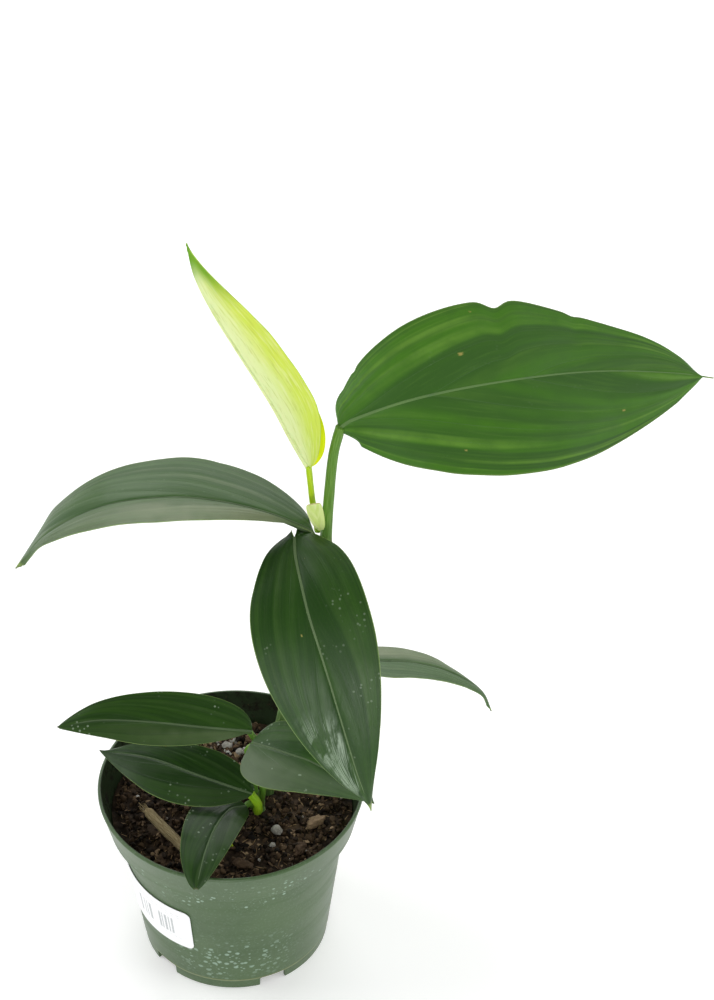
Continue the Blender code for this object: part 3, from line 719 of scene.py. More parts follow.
@dataclass(frozen=True)
class StalkFinish:
    """The fleshy skin of a stem or petiole, with fine lines along it."""

    name: str
    green: Colour
    light: Colour
    foot: Colour
    foot_length: float = 8.0
    roughness: float = 0.42

    def material(self) -> Material:
        """The skin, streaked along its length and stained at its foot; its UV runs in cm."""
        sheet = Sheet(self.name, self.green, self.roughness, Specular_IOR_Level=0.20,
                      Subsurface_Weight=0.06, Subsurface_Scale=0.002)
        along, across = sheet.surface()
        streak = sheet.vector(sheet.times(across, 6.0), sheet.times(along, 0.35))
        lines = sheet.noise(3.0, 3.0, 0.6, at=streak)
        colour = sheet.mix(sheet.remap(lines, 0.35, 0.68), self.green, self.light)
        flecks = sheet.remap(sheet.noise(180.0, 3.0), 0.6, 0.72, 0.0, 0.5)
        colour = sheet.mix(flecks, colour, self.light)
        stain = sheet.times(sheet.remap(along, 0.0, self.foot_length / 10, 1.0, 0.0),
                            sheet.remap(sheet.noise(350.0, 3.0), 0.35, 0.6, 0.4, 1.0))
        colour = sheet.mix(stain, colour, self.foot)
        normal = sheet.bump(sheet.math("ADD", lines, sheet.times(sheet.noise(1500.0, 2.0), 0.3)), 0.14, 0.5)
        gloss = sheet.remap(lines, 0.3, 0.7, self.roughness - 0.06, self.roughness + 0.1)
        return sheet.finish(Base_Color=colour, Roughness=gloss, Normal=normal)


@dataclass(frozen=True)
class SpotLayer:
    """One layer of dried water spots: how close, how large and how strong they are, and how clumped."""

    scale: float
    size: float
    strength: float
    clump_from: float
    clump_to: float


@dataclass(frozen=True)
class PotFinish:
    """Satin green plastic with dried water marks, a little soil dust and a darker inside, partly soil stain
    and partly painted shade. Heights are in metres.
    """

    green: Colour = (0.064, 0.116, 0.043)
    darker: Colour = (0.050, 0.096, 0.034)
    water: Colour = (0.34, 0.48, 0.38)
    seam: Colour = (0.30, 0.30, 0.10)
    # Darker than the outside green: partly soil stain, partly painted shade of the pot's inside.
    inside: Colour = (0.030, 0.050, 0.022)
    damp: Colour = (0.018, 0.018, 0.010)
    crumb: Colour = (0.10, 0.07, 0.04)
    low_band: tuple[float, float, float, float] = (0.003, 0.012, 0.028, 0.040)
    low_spots: tuple[SpotLayer, ...] = (SpotLayer(260.0, 0.34, 0.60, 0.34, 0.50),
                                        SpotLayer(440.0, 0.30, 0.50, 0.34, 0.50))
    high_band: tuple[float, float, float, float] = (0.054, 0.062, 0.074, 0.082)
    high_spots: tuple[SpotLayer, ...] = (SpotLayer(280.0, 0.27, 0.80, 0.44, 0.56),
                                         SpotLayer(600.0, 0.26, 0.30, 0.44, 0.56))
    seam_band: tuple[float, float, float, float] = (0.0050, 0.0054, 0.0058, 0.0064)

    def outer(self, stand: Frame) -> Material:
        """The outside, with spots in a band near the foot and on the front of the rim band."""
        sheet = Sheet("pot_outside", self.green, 0.42, Specular_IOR_Level=0.40)
        split = sheet.add("SeparateXYZ", Vector=sheet.places())
        height = split.outputs["Z"]
        front = sheet.remap(split.outputs["Y"], stand.axis.y - 0.030, stand.axis.y - 0.045)
        colour = sheet.mix(sheet.remap(sheet.noise(28.0, 4.0), 0.35, 0.68), self.green, self.darker)
        fine = sheet.noise(900.0, 3.0, 0.6)
        colour = sheet.mix(sheet.remap(fine, 0.5, 0.75, 0.0, 0.10), colour, self.water)
        for reach, layers in ((self.low_band, self.low_spots), (self.high_band, self.high_spots)):
            shown = sheet.times(sheet.between(height, *reach), front)
            for layer in layers:
                cell = sheet.cells(sheet.stretched((1.0, 1.0, 1.3)), layer.scale)
                spot = sheet.remap(cell, layer.size * 0.55, layer.size, 1.0, 0.0)
                patches = sheet.noise(60.0 + layer.scale / 20, 2.0)
                clump = sheet.remap(patches, layer.clump_from, layer.clump_to)
                colour = sheet.mix(sheet.times(spot, clump, shown, layer.strength), colour, self.water)
        colour = sheet.mix(sheet.times(sheet.between(height, *self.seam_band), 0.4), colour, self.seam)
        scratches = sheet.noise(7.0, 5.0, 0.7, at=sheet.stretched((1.0, 1.0, 12.0)))
        normal = sheet.bump(sheet.math("ADD", fine, sheet.noise(160.0, 2.0)), 0.05, 0.35)
        scuff = sheet.remap(scratches, 0.45, 0.7, 0.36, 0.50)
        return sheet.finish(Base_Color=colour, Roughness=scuff, Normal=normal)

    def inner(self) -> Material:
        """The inside: darker than the outside, partly dulled by damp soil and partly painted shade."""
        sheet = Sheet("pot_inside", self.inside, 0.5, Specular_IOR_Level=0.2)
        dirt = sheet.remap(sheet.noise(120.0, 5.0, 0.7), 0.48, 0.62)
        colour = sheet.mix(dirt, self.inside, self.damp)
        crumbs = sheet.remap(sheet.noise(800.0, 2.0), 0.66, 0.72, 0.0, 0.5)
        colour = sheet.mix(crumbs, colour, self.crumb)
        normal = sheet.bump(sheet.noise(700.0, 3.0), 0.1, 0.5)
        gloss = sheet.remap(dirt, 0.0, 1.0, 0.42, 0.8)
        return sheet.finish(Base_Color=colour, Roughness=gloss, Normal=normal)


@dataclass(frozen=True)
class PaperFinish:
    """A white paper label with generic bars and rules, in mm, and nothing that can be read."""

    paper: Colour = (0.93, 0.94, 0.945)
    ink: Colour = (0.11, 0.12, 0.15)
    bars: tuple[tuple[float, float], ...] = ((9.0, 1.0), (10.9, 0.6), (12.4, 1.2), (14.6, 0.6), (15.8, 1.1),
                                             (21.6, 1.5), (24.4, 0.6), (26.2, 0.6), (28.9, 1.2))
    bar_rows: tuple[float, float, float, float] = (7.8, 8.0, 18.4, 18.6)
    bar_strength: float = 0.55
    rules: tuple[tuple[float, float], ...] = ((4.2, 0.22), (5.6, 0.16), (20.2, 0.16))
    rule_half: float = 0.28
    rule_middle: float = 21.0
    rule_reach: float = 16.0

    def material(self) -> Material:
        """The printed paper; its UV is in millimetres from the right end and from the top."""
        sheet = Sheet("label_paper", self.paper, 0.55, Specular_IOR_Level=0.3)
        along, down = sheet.surface()
        tint = sheet.noise(700.0, 4.0, 0.7)
        colour = sheet.mix(sheet.remap(tint, 0.4, 0.7), self.paper, tuple(part * 0.95 for part in self.paper))
        ink_share = 0.0
        for start, width in self.bars:
            bar = sheet.math("COMPARE", along, start + width / 2, width / 2)
            ink_share = sheet.math("MAXIMUM", ink_share, bar)
        ink_share = sheet.times(ink_share, sheet.between(down, *self.bar_rows), self.bar_strength)
        dashes = sheet.math("GREATER_THAN", sheet.math("SINE", sheet.times(along, 2.3)), -0.2)
        reach = sheet.math("COMPARE", along, self.rule_middle, self.rule_reach)
        for row, strength in self.rules:
            rule = sheet.math("COMPARE", down, row, self.rule_half)
            ink_share = sheet.math("MAXIMUM", ink_share, sheet.times(rule, reach, dashes, strength))
        worn = sheet.times(ink_share, sheet.remap(sheet.noise(1400.0, 2.0), 0.3, 0.55, 0.6, 1.0))
        colour = sheet.mix(worn, colour, self.ink)
        return sheet.finish(Base_Color=colour, Normal=sheet.bump(tint, 0.03, 0.4))


class CrumbFinish(Enum):
    """The loose stuff of the potting soil: name, dark colour, middle colour, light colour, roughness."""

    PEAT = ("soil_peat", (0.006, 0.0038, 0.0022), (0.028, 0.017, 0.009), (0.095, 0.060, 0.032), 0.85)
    BARK = ("soil_bark", (0.020, 0.010, 0.005), (0.080, 0.048, 0.025), (0.310, 0.215, 0.125), 0.75)
    FIBRE = ("soil_fibre", (0.090, 0.050, 0.022), (0.200, 0.120, 0.055), (0.380, 0.260, 0.130), 0.7)
    PERLITE = ("soil_perlite", (0.180, 0.160, 0.130), (0.360, 0.345, 0.310), (0.560, 0.550, 0.520), 0.8)

    def material(self) -> Material:
        """A rough crumbly surface; the UV gives each crumb its own shade."""
        name, dark, middle, light, roughness = self.value
        sheet = Sheet(name, middle, roughness, Specular_IOR_Level=0.25)
        grainy = sheet.noise(1100.0, 3.0, 0.65)
        mottle = sheet.times(sheet.noise(300.0, 3.0, 0.6), 0.35)
        shade = sheet.math("MULTIPLY_ADD", sheet.surface()[0], 0.75, mottle)
        colour = sheet.ramp(sheet.math("MULTIPLY_ADD", grainy, 0.35, sheet.math("SUBTRACT", shade, 0.15)),
                            (0.22, dark), (0.50, middle), (0.85, light))
        return sheet.finish(Base_Color=colour, Normal=sheet.bump(grainy, 0.3, 0.8))


@dataclass(frozen=True)
class DryFinish:
    """The fibrous skin of a dead cane or a root."""

    name: str
    tan: Colour
    dark: Colour
    light: Colour

    def material(self, own_uv: bool = True) -> Material:
        """Dry fibres along the piece.

        Args:
            own_uv: Whether the piece has its own UV to run the fibres along.

        Returns:
            The material.
        """
        sheet = Sheet(self.name, self.tan, 0.75, Specular_IOR_Level=0.25)
        if own_uv:
            along, across = sheet.surface()
            streak = sheet.vector(sheet.times(across, 9.0), sheet.times(along, 0.6))
            lines = sheet.noise(3.0, 4.0, 0.65, at=streak)
        else:
            lines = sheet.noise(600.0, 4.0, 0.65, at=sheet.stretched((1.0, 1.0, 0.15)))
        colour = sheet.ramp(lines, (0.32, self.dark), (0.5, self.tan), (0.68, self.light))
        return sheet.finish(Base_Color=colour, Normal=sheet.bump(lines, 0.35, 0.8))


NEW_LEAF = NewLeafFinish()
BRIGHT_LEAF = LeafFinish(
    "bright_leaf", deep=(0.042, 0.122, 0.018), green=(0.062, 0.192, 0.014), pale=(0.135, 0.300, 0.036),
    vein=(0.100, 0.190, 0.080), under=(0.16, 0.29, 0.06), margin=(0.16, 0.28, 0.06), lean=0.65, veins=4,
    vein_strength=0.28, midrib_strength=0.30, bands=0.90, specular=0.22, specks=0.05,
    scars=((0.35, 0.30, 0.008), (0.40, 0.06, 0.005), (0.74, 0.80, 0.006), (0.30, 0.86, 0.004)))
# The grey leaves carry a strong painted sheen.
GREY_LEAF = LeafFinish(
    "grey_leaf", deep=(0.038, 0.100, 0.020), green=(0.068, 0.142, 0.040), pale=(0.150, 0.205, 0.100),
    vein=(0.024, 0.048, 0.018), under=(0.11, 0.18, 0.07), margin=(0.20, 0.30, 0.10), lean=1.0, veins=3,
    vein_strength=0.20, midrib_strength=0.75, bands=0.55, roughness=0.40, specular=0.22, specks=0.1,
    painted_sheen=0.70, painted_sheen_colour=(0.240, 0.270, 0.165))
# The glossy leaf carries painted highlight streaks on its lower part.
GLOSSY_LEAF = LeafFinish(
    "glossy_leaf", deep=(0.013, 0.050, 0.004), green=(0.026, 0.078, 0.008), pale=(0.050, 0.104, 0.022),
    vein=(0.120, 0.172, 0.085), under=(0.09, 0.16, 0.05), margin=(0.24, 0.36, 0.11), lean=0.8, veins=3,
    vein_strength=0.08, midrib_strength=0.42, roughness=0.38, specular=0.26, streak_gloss=0.16, specks=0.3,
    scars=((0.34, 0.60, 0.006), (0.10, 0.40, 0.004)))
# The dark leaves carry a light painted sheen on one half.
DARK_LEAF = LeafFinish(
    "dark_leaf", deep=(0.010, 0.036, 0.004), green=(0.020, 0.060, 0.007), pale=(0.046, 0.084, 0.028),
    vein=(0.080, 0.120, 0.060), under=(0.08, 0.14, 0.05), margin=(0.20, 0.30, 0.09), tip=(0.09, 0.10, 0.035),
    tip_from=0.985, lean=0.8, veins=2, vein_strength=0.06, midrib_strength=0.28, bands=0.5, roughness=0.34,
    specular=0.21, specks=0.7, painted_sheen=0.20, painted_sheen_colour=(0.075, 0.112, 0.052))
# The dark leaf with a strong painted sheen over one half of the blade.
PAINTED_SHEEN_LEAF = replace(
    DARK_LEAF, name="painted_sheen_leaf", deep=(0.016, 0.050, 0.006), green=(0.030, 0.080, 0.010), painted_sheen=0.85,
    painted_sheen_colour=(0.092, 0.135, 0.058))
# The dark leaf with a strong painted sheen over the other half of the blade.
SHEEN_LEAF = replace(
    DARK_LEAF, name="sheen_leaf", deep=(0.020, 0.060, 0.010), green=(0.040, 0.095, 0.020),
    pale=(0.080, 0.130, 0.055), painted_sheen=0.85, painted_sheen_half=1.0, painted_sheen_colour=(0.130, 0.175, 0.105))
SHEATH = LeafFinish(
    "sheath", deep=(0.62, 0.78, 0.22), green=(0.76, 0.86, 0.38), pale=(0.86, 0.92, 0.60),
    vein=(0.60, 0.76, 0.20), under=(0.74, 0.86, 0.38), margin=(0.66, 0.68, 0.28), tip=(0.55, 0.50, 0.22),
    bands=0.7, specks=0.0, specular=0.12)
GREEN_STALK = StalkFinish("green_stalk", (0.080, 0.205, 0.014), (0.165, 0.320, 0.055), (0.110, 0.085, 0.035))
LIME_STALK = StalkFinish("lime_stalk", (0.400, 0.620, 0.006), (0.540, 0.740, 0.050), (0.260, 0.420, 0.030),
                         foot_length=5.0)
FRESH_STALK = replace(LIME_STALK, name="fresh_stalk", green=(0.190, 0.400, 0.006),
                      light=(0.340, 0.560, 0.030))
OLD_STEM = StalkFinish("old_stem", (0.070, 0.150, 0.036), (0.150, 0.240, 0.075), (0.120, 0.080, 0.035),
                       foot_length=16.0, roughness=0.5)
DEAD_CANE = DryFinish("dead_cane", (0.320, 0.250, 0.125), (0.120, 0.080, 0.035), (0.520, 0.440, 0.260))
ROOT_SKIN = DryFinish("root_skin", (0.520, 0.420, 0.260), (0.300, 0.200, 0.100), (0.680, 0.600, 0.420))


# ---------------------------------------------------------------------------------------------
# Leaves and stalks
# ---------------------------------------------------------------------------------------------


@dataclass(frozen=True)
class Outline:
    """Half of a blade's outline: its width in mm, where it is widest, and how full it is."""

    width: float
    widest: float
    fullness: float

    def at(self, along: np.ndarray) -> np.ndarray:
        """Width from the midrib at shares of the blade's length, in mm."""
        inside = np.clip(along, 0.0, 1.0)
        rise = (inside / self.widest) ** self.widest
        fall = ((1.0 - inside) / (1.0 - self.widest)) ** (1.0 - self.widest)
        return self.width * (rise * fall) ** self.fullness


@dataclass
class LeafBlade:
    """A leaf blade: a fine sheet laid along its midrib, creased at its veins, with a rib beneath."""

    name: str
    route: list[Point]
    faces: tuple[Point, Point]
    left: Outline
    right: Outline
    folds: tuple[float, float]
    finish: LeafFinish | NewLeafFinish
    slot: str = "leaf"
    rows: int = 120
    columns: int = 52
    thickness: float = 0.34
    base_width: float = 2.4
    tip_width: float = 0.34
    crown: float = 1.2
    pleat: float = 0.30
    ripple: float = 0.7
    ripple_size: float = 26.0
    lobe: float = 0.0
    rib: float = 1.2
    tail: float = 0.0
    dips: tuple[tuple[float, float, float, float], ...] = ()
    packing: float = 1.45
    spread: float = 0.75
    groove_width: float = 0.8
    groove_depth: float = 0.30
    lobe_length: float = 0.16
    seed: float = 0.0

    def spine(self, count: int) -> tuple[np.ndarray, np.ndarray, np.ndarray, np.ndarray, np.ndarray]:
        """The midrib and the directions along it.

        Args:
            count: How many points along the midrib.

        Returns:
            The points in mm, their share of the length, and the ahead, side and face directions.
        """
        route = smooth_route(self.route, count, self.spread)
        along = run_of(route)
        along = along / along[-1]
        ahead = headings(route)
        share = along[:, None]
        toward = np.array(self.faces[0]) * (1 - share) + np.array(self.faces[1]) * share
        side = unit(np.cross(ahead, toward))
        return route, along, ahead, side, np.cross(side, ahead)

    def relief(self, along: np.ndarray, off: np.ndarray, half: np.ndarray) -> np.ndarray:
        """Height of the veins, the pleats and the groove of the midrib, in mm.

        Args:
            along: Share of the blade's length.
            off: Share of the way from the midrib to the edge.
            half: Half the blade's width there, in mm.

        Returns:
            One height for each point.
        """
        line = along + self.finish.lean * np.log(np.maximum(1 - off / VEIN_END, VEIN_ROOM))
        wave = np.abs(np.sin(np.pi * self.finish.veins * line))
        inside = np.clip((0.96 - off) / 0.35, 0, 1) * np.clip(off / 0.12, 0, 1)
        ends = np.clip(along / 0.08, 0, 1) * np.clip((1 - along) / 0.12, 0, 1)
        depth = self.groove_depth * np.clip(half / 6, 0, 1)
        groove = np.exp(-((off * half / self.groove_width) ** 2)) * depth
        return self.pleat * (wave**0.6 - 0.6) * inside * ends - groove

    def halves(self, along: np.ndarray, sign: np.ndarray) -> tuple[np.ndarray, np.ndarray]:
        """Half the blade's width with its dips, and how far its fold holds there.

        Args:
            along: Share of the blade's length.
            sign: 1 on the right half and -1 on the left.

        Returns:
            The half widths in mm, and shares that fall to 0 where the blade narrows to a tip.
        """
        body = np.minimum(along / (1 - self.tail), 1.0)
        full = np.where(sign > 0, self.right.at(body), self.left.at(body))
        for centre, reach, depth, which in self.dips:
            full = full * (1 - depth * np.exp(-(((along - centre) / reach) ** 2)) * (sign == which))
        least = (self.base_width * (1 - along) + self.tip_width * along) / 2
        return np.maximum(full, least), np.minimum(1.0, full / (3 * least))

    def sheet_mesh(self) -> Piece:
        """The blade's upper sheet, before it gets its thickness."""
        piece = grid(self.name + "_skin", self.rows, self.columns)
        flat = coordinates(piece)
        row = np.rint((flat[:, 0] + 0.5) * self.rows).astype(int)
        across = -2.0 * flat[:, 1]
        off = np.abs(across) ** self.packing
        sign = np.where(across > 0, 1.0, -1.0)
        route, run, heading, sideways, facing = self.spine(self.rows + 1)
        along, ahead, side, face = run[row], heading[row], sideways[row], facing[row]
        half, opened = self.halves(along, sign)
        fold = np.radians(np.where(across > 0, self.folds[1], self.folds[0])) * opened
        width = half * off
        spots = np.stack([along * 140, sign * off * half * 1.2, np.full(len(off), self.seed)], axis=1)
        rough = self.ripple * sample_noise(spots, self.ripple_size, self.seed, 2) * off**1.3
        bowed = (self.relief(along, off, half) + rough - self.crown * off**2) * opened
        lift = width * np.sin(fold) + bowed
        back = self.lobe * off**1.3 * np.clip(1 - along / self.lobe_length, 0, 1) ** 1.5
        local = route[row] + side * (width * np.cos(fold) * sign)[:, None] + face * lift[:, None]
        place(piece, STAND.on_soil(local - ahead * back[:, None]))
        write_uv(piece, along, 0.5 + 0.5 * sign * off)
        return piece

    def rib_mesh(self) -> Piece:
        """The rib that carries the petiole on under the blade."""
        route, along, _, _, face = self.spine(60)
        radii = self.rib * (1 - along) ** 0.8 * 0.85 + 0.18
        return swept(self.name + "_rib", route - face * (radii * 0.65 + 0.1)[:, None], radii, 10, as_rib=True)

    def build(self) -> Piece:
        """Make the blade, thicken it, add its rib and dress it."""
        piece = self.sheet_mesh()
        dress(piece, self.finish.upper(), self.finish.below(), self.finish.edge())
        add_modifier(piece, "SOLIDIFY", thickness=self.thickness * MM, offset=0.0, material_offset=1,
                     material_offset_rim=2, use_even_offset=False)
        if self.rib:
            rib = self.rib_mesh()
            dress(rib, piece.data.materials[0], piece.data.materials[1])
            rib.data.polygons.foreach_set("material_index", [1] * len(rib.data.polygons))
            join(piece, rib)
        smooth(piece, 50)
        return settle(piece, self.slot, self.name)


def join(target: Piece, *others: Piece) -> Piece:
    """Join objects into the first one.

    Args:
        target: The object that stays.
        others: The objects that go into it.

    Returns:
        The first object.
    """
    clear_selection()
    for other in others:
        other.select_set(True)
    target.select_set(True)
    bpy.context.view_layer.objects.active = target
    bpy.ops.object.join()
    return target


def swept(name: str, route: np.ndarray, radii: np.ndarray, around: int = 20, ridges: int = 0,
          ridge_depth: float = 0.0, squash: float = 1.0, as_rib: bool = False) -> Piece:
    """A closed tube round a route, made from a grid that is wrapped round it.

    Args:
        name: Name of the new piece.
        route: Places in mm from the middle of the soil surface.
        radii: Radius in mm at each place.
        around: Faces round the tube.
        ridges: How many ridges run along it.
        ridge_depth: Depth of the ridges, as a share of the radius.
        squash: Share of the radius kept across one direction.
        as_rib: Whether the UV is a blade's, running along its midrib.

    Returns:
        The tube, with its UV running along it in cm and folded round it.
    """
    rows = len(route) - 1
    piece = grid(name, rows, around)
    flat = coordinates(piece)
    row = np.rint((flat[:, 0] + 0.5) * rows).astype(int)
    turn = np.rint((flat[:, 1] + 0.5) * around) % around * (2 * np.pi / around)
    ahead = headings(route)
    normal = np.empty_like(route)
    first = np.cross(ahead[0], (0.0, 1.0, 0.3))
    for index, heading in enumerate(ahead):
        first = first - heading * float(first @ heading)
        first = first / np.linalg.norm(first)
        normal[index] = first
    other = np.cross(ahead, normal)
    radius = radii[row] * (1 + ridge_depth * np.cos(ridges * turn))
    local = (route[row] + normal[row] * (radius * np.cos(turn))[:, None]
             + other[row] * (radius * squash * np.sin(turn))[:, None])
    place(piece, STAND.on_soil(local))
    run = run_of(route)[row]
    if as_rib:
        write_uv(piece, run / run.max(), np.full(len(run), 0.5))
    else:
        write_uv(piece, run / 10, 0.5 - 0.5 * np.cos(turn))
    tidy_shell(piece)
    return piece


@dataclass
class Stalk:
    """A stem or petiole: a tapered fleshy tube, swollen where it joins something."""

    name: str
    route: list[Point]
    start_radius: float
    end_radius: float
    finish: StalkFinish
    slot: str
    swell_start: float = 0.25
    swell_end: float = 0.0
    rings: tuple[float, ...] = ()
    points: int = 70
    around: int = 24
    ridge_depth: float = 0.025
    ridges: int = 7
    reach: float = 0.8
    swell_length: float = 3.5
    ring_height: float = 1.1
    ring_bulge: float = 0.13
    ring_waist: float = 0.05
    seed: float = 0.0

    def build(self) -> Piece:
        """Make the stalk and dress it."""
        route = smooth_route(self.route, self.points)
        share = run_of(route)
        length = share[-1]
        share = share / length
        ahead = headings(route)
        route = np.vstack([route[:1] - ahead[:1] * self.reach, route, route[-1:] + ahead[-1:] * self.reach])
        share = np.concatenate([[0.0], share, [1.0]])
        from_start, from_end = share * length, (1 - share) * length
        radii = self.start_radius * (1 - share) + self.end_radius * share
        swell = self.swell_start * np.exp(-from_start / self.swell_length)
        swell = swell + self.swell_end * np.exp(-((from_end - 3.0) / self.swell_length) ** 2)
        radii = radii * (1 + swell)
        for height in self.rings:
            near = (route[:, 2] - height) / self.ring_height
            bulge, waist = self.ring_bulge * np.exp(-near**2), self.ring_waist * np.exp(-((near - 1.8) ** 2))
            radii = radii * (1 + bulge - waist)
        radii = radii * (1 + 0.03 * sample_noise(route, 7.0, self.seed))
        piece = swept(self.name + "_skin", route, radii, self.around, self.ridges, self.ridge_depth)
        dress(piece, self.finish.material())
        smooth(piece, 50)
        return settle(piece, self.slot, self.name)


# ---------------------------------------------------------------------------------------------
# Sub-assemblies
# ---------------------------------------------------------------------------------------------


@dataclass
class Pot:
    """The nursery pot: a thin turned shell with a stepped shoulder, a rolled lip and drain slots."""

    wall: float = 1.2
    lip: float = 1.6
    band_bottom: float = 69.5
    band_bottom_radius: float = 53.4
    wall_top: float = 66.9
    wall_top_radius: float = 48.9
    wall_bottom_radius: float = 41.3
    foot_height: float = 5.6
    foot_radius: float = 40.5
    floor_under: float = 3.4
    floor_top: float = 4.8
    floor_zone: float = 20.0
    steps: int = 192
    drains: int = 5
    first_drain: float = 25.0
    drain_width: float = 12.0
    drain_length: float = 7.0
    drain_round: float = 1.4
    edge_round: float = 0.35
    finish: PotFinish = field(default_factory=PotFinish)

    def profile(self) -> list[tuple[float, float]]:
        """Radius and height of each ring, from the recess under the floor, out, up and down inside."""
        rim, top = STAND.rim_radius, STAND.pot_height
        return [
            (self.foot_radius - self.wall - 0.8, self.floor_under), (self.foot_radius - self.wall - 0.6, 0.0),
            (self.foot_radius, 0.0), (self.foot_radius + 0.4, self.foot_height - 0.8),
            (self.wall_bottom_radius, self.foot_height), (self.wall_top_radius, self.wall_top),
            (self.band_bottom_radius, self.band_bottom), (rim - 0.5, top - 2.2), (rim, top - 0.9),
            (rim - 0.5, top), (rim - self.lip, top), (rim - self.lip - 0.1, top - 2.0),
            (self.band_bottom_radius - self.wall, self.band_bottom + self.wall),
            (self.wall_top_radius - self.wall, self.wall_top + self.wall),
            (self.wall_bottom_radius - self.wall, self.floor_top + 1.6),
            (self.wall_bottom_radius - self.wall - 1.2, self.floor_top),
        ]

    def shell(self) -> Piece:
        """Draw the shell up from a ring, one extruded ring after another, and close both floors."""
        clear_selection()
        rings = self.profile()
        radius, height = rings[0]
        bpy.ops.mesh.primitive_circle_add(vertices=self.steps, radius=radius * MM, fill_type="NGON",
                                          location=(0, 0, height * MM))
        piece = added("nursery_pot")
        bpy.ops.object.transform_apply(location=True, rotation=True, scale=True)
        bpy.ops.object.mode_set(mode="EDIT")
        bpy.ops.mesh.select_mode(type="EDGE")
        bpy.ops.mesh.select_all(action="SELECT")
        for next_radius, next_height in rings[1:]:
            bpy.ops.mesh.extrude_edges_move()
            bpy.ops.transform.resize(value=(next_radius / radius, next_radius / radius, 1.0),
                                     center_override=(0, 0, height * MM))
            bpy.ops.transform.translate(value=(0, 0, (next_height - height) * MM))
            radius, height = next_radius, next_height
        bpy.ops.mesh.edge_face_add()
        bpy.ops.mesh.select_all(action="SELECT")
        bpy.ops.mesh.normals_make_consistent(inside=False)
        bpy.ops.object.mode_set(mode="OBJECT")
        place(piece, STAND.on_foot(coordinates(piece) / MM))
        return piece

    def cut_drains(self, piece: Piece) -> None:
        """Cut the round-topped drain slots through the foot of the wall."""
        reach = self.wall_bottom_radius - self.drain_length / 2
        for index in range(self.drains):
            turn = math.radians(self.first_drain + index * 360.0 / self.drains - 90.0)
            clear_selection()
            bpy.ops.mesh.primitive_cube_add(size=1.0)
            cutter = added("drain_cutter")
            low, high = -1.0, self.foot_height - 0.2
            turned = Matrix.Rotation(turn, 4, "Z")
            moved = Matrix.Translation((reach * MM, 0, (low + high) / 2 * MM))
            sides = Vector((self.drain_length + 4, self.drain_width, high - low)) * MM
            scaled = Matrix.Diagonal((*sides, 1.0))
            cutter.data.transform(Matrix.Translation(STAND.axis) @ turned @ moved @ scaled)
            add_modifier(cutter, "BEVEL", width=self.drain_round * MM, segments=4, limit_method="ANGLE")
            add_modifier(piece, "BOOLEAN", operation="DIFFERENCE", solver="EXACT", object=cutter)
            bpy.data.objects.remove(cutter)

    def build(self) -> Piece:
        """Make the pot, round its edges, cut its drains and dress its two faces."""
        piece = self.shell()
        add_modifier(piece, "BEVEL", width=self.edge_round * MM, segments=3, limit_method="ANGLE",
                     angle_limit=math.radians(12))
        self.cut_drains(piece)
        dress(piece, self.finish.outer(STAND), self.finish.inner())
        for polygon in piece.data.polygons:
            centre, facing = polygon.center - STAND.axis, polygon.normal
            above_floor = centre.z > (self.floor_top - 0.5) * MM
            inner_wall = facing.x * centre.x + facing.y * centre.y < -1e-6
            inner_floor = facing.z > 0.9 and centre.z < self.floor_zone * MM
            polygon.material_index = int(above_floor and (inner_wall or inner_floor))
        smooth(piece, 32)
        return settle(piece, "pot_plastic", "pot")


@dataclass
class Label:
    """The paper label, bent round the wall below the shoulder."""

    pot: Pot
    length: float = 66.7
    height: float = 25.4
    thickness: float = 0.2
    corner: float = 3.0
    right_end: float = -21.5
    below_shoulder: float = 16.0
    gap: float = 0.3
    columns: int = 120
    rows: int = 12
    packing: float = 0.6
    finish: PaperFinish = field(default_factory=PaperFinish)

    def build(self) -> Piece:
        """Make the label and dress it."""
        pot = self.pot
        top = pot.wall_top - self.below_shoulder
        slope = (pot.wall_top_radius - pot.wall_bottom_radius) / (pot.wall_top - pot.foot_height)
        middle_radius = pot.wall_top_radius - slope * (self.below_shoulder + self.height / 2)
        sweep = self.length / middle_radius
        piece = grid("label", self.columns, self.rows)
        flat = coordinates(piece)
        eased = np.sin(flat[:, 0] * np.pi) / 2 * self.packing + flat[:, 0] * (1 - self.packing)
        along = eased * self.length
        past = np.clip(np.abs(along) - (self.length / 2 - self.corner), 0.0, self.corner)
        inset = self.corner - np.sqrt(np.maximum(self.corner**2 - past**2, 0.0))
        down = inset + (0.5 - flat[:, 1]) * (self.height - 2 * inset)
        height = top - down
        radius = pot.wall_top_radius - slope * (pot.wall_top - height) + self.gap + self.thickness / 2
        turn = math.radians(self.right_end - 90.0) - sweep / 2 + sweep * along / self.length
        place(piece, STAND.on_foot(np.stack([radius * np.cos(turn), radius * np.sin(turn), height], axis=1)))
        write_uv(piece, self.length / 2 - along, down)
        tidy_shell(piece, fill=False)
        add_modifier(piece, "SOLIDIFY", thickness=self.thickness * MM, offset=0.0)
        dress(piece, self.finish.material())
        smooth(piece, 40)
        return settle(piece, "label_paper", "pot_label")


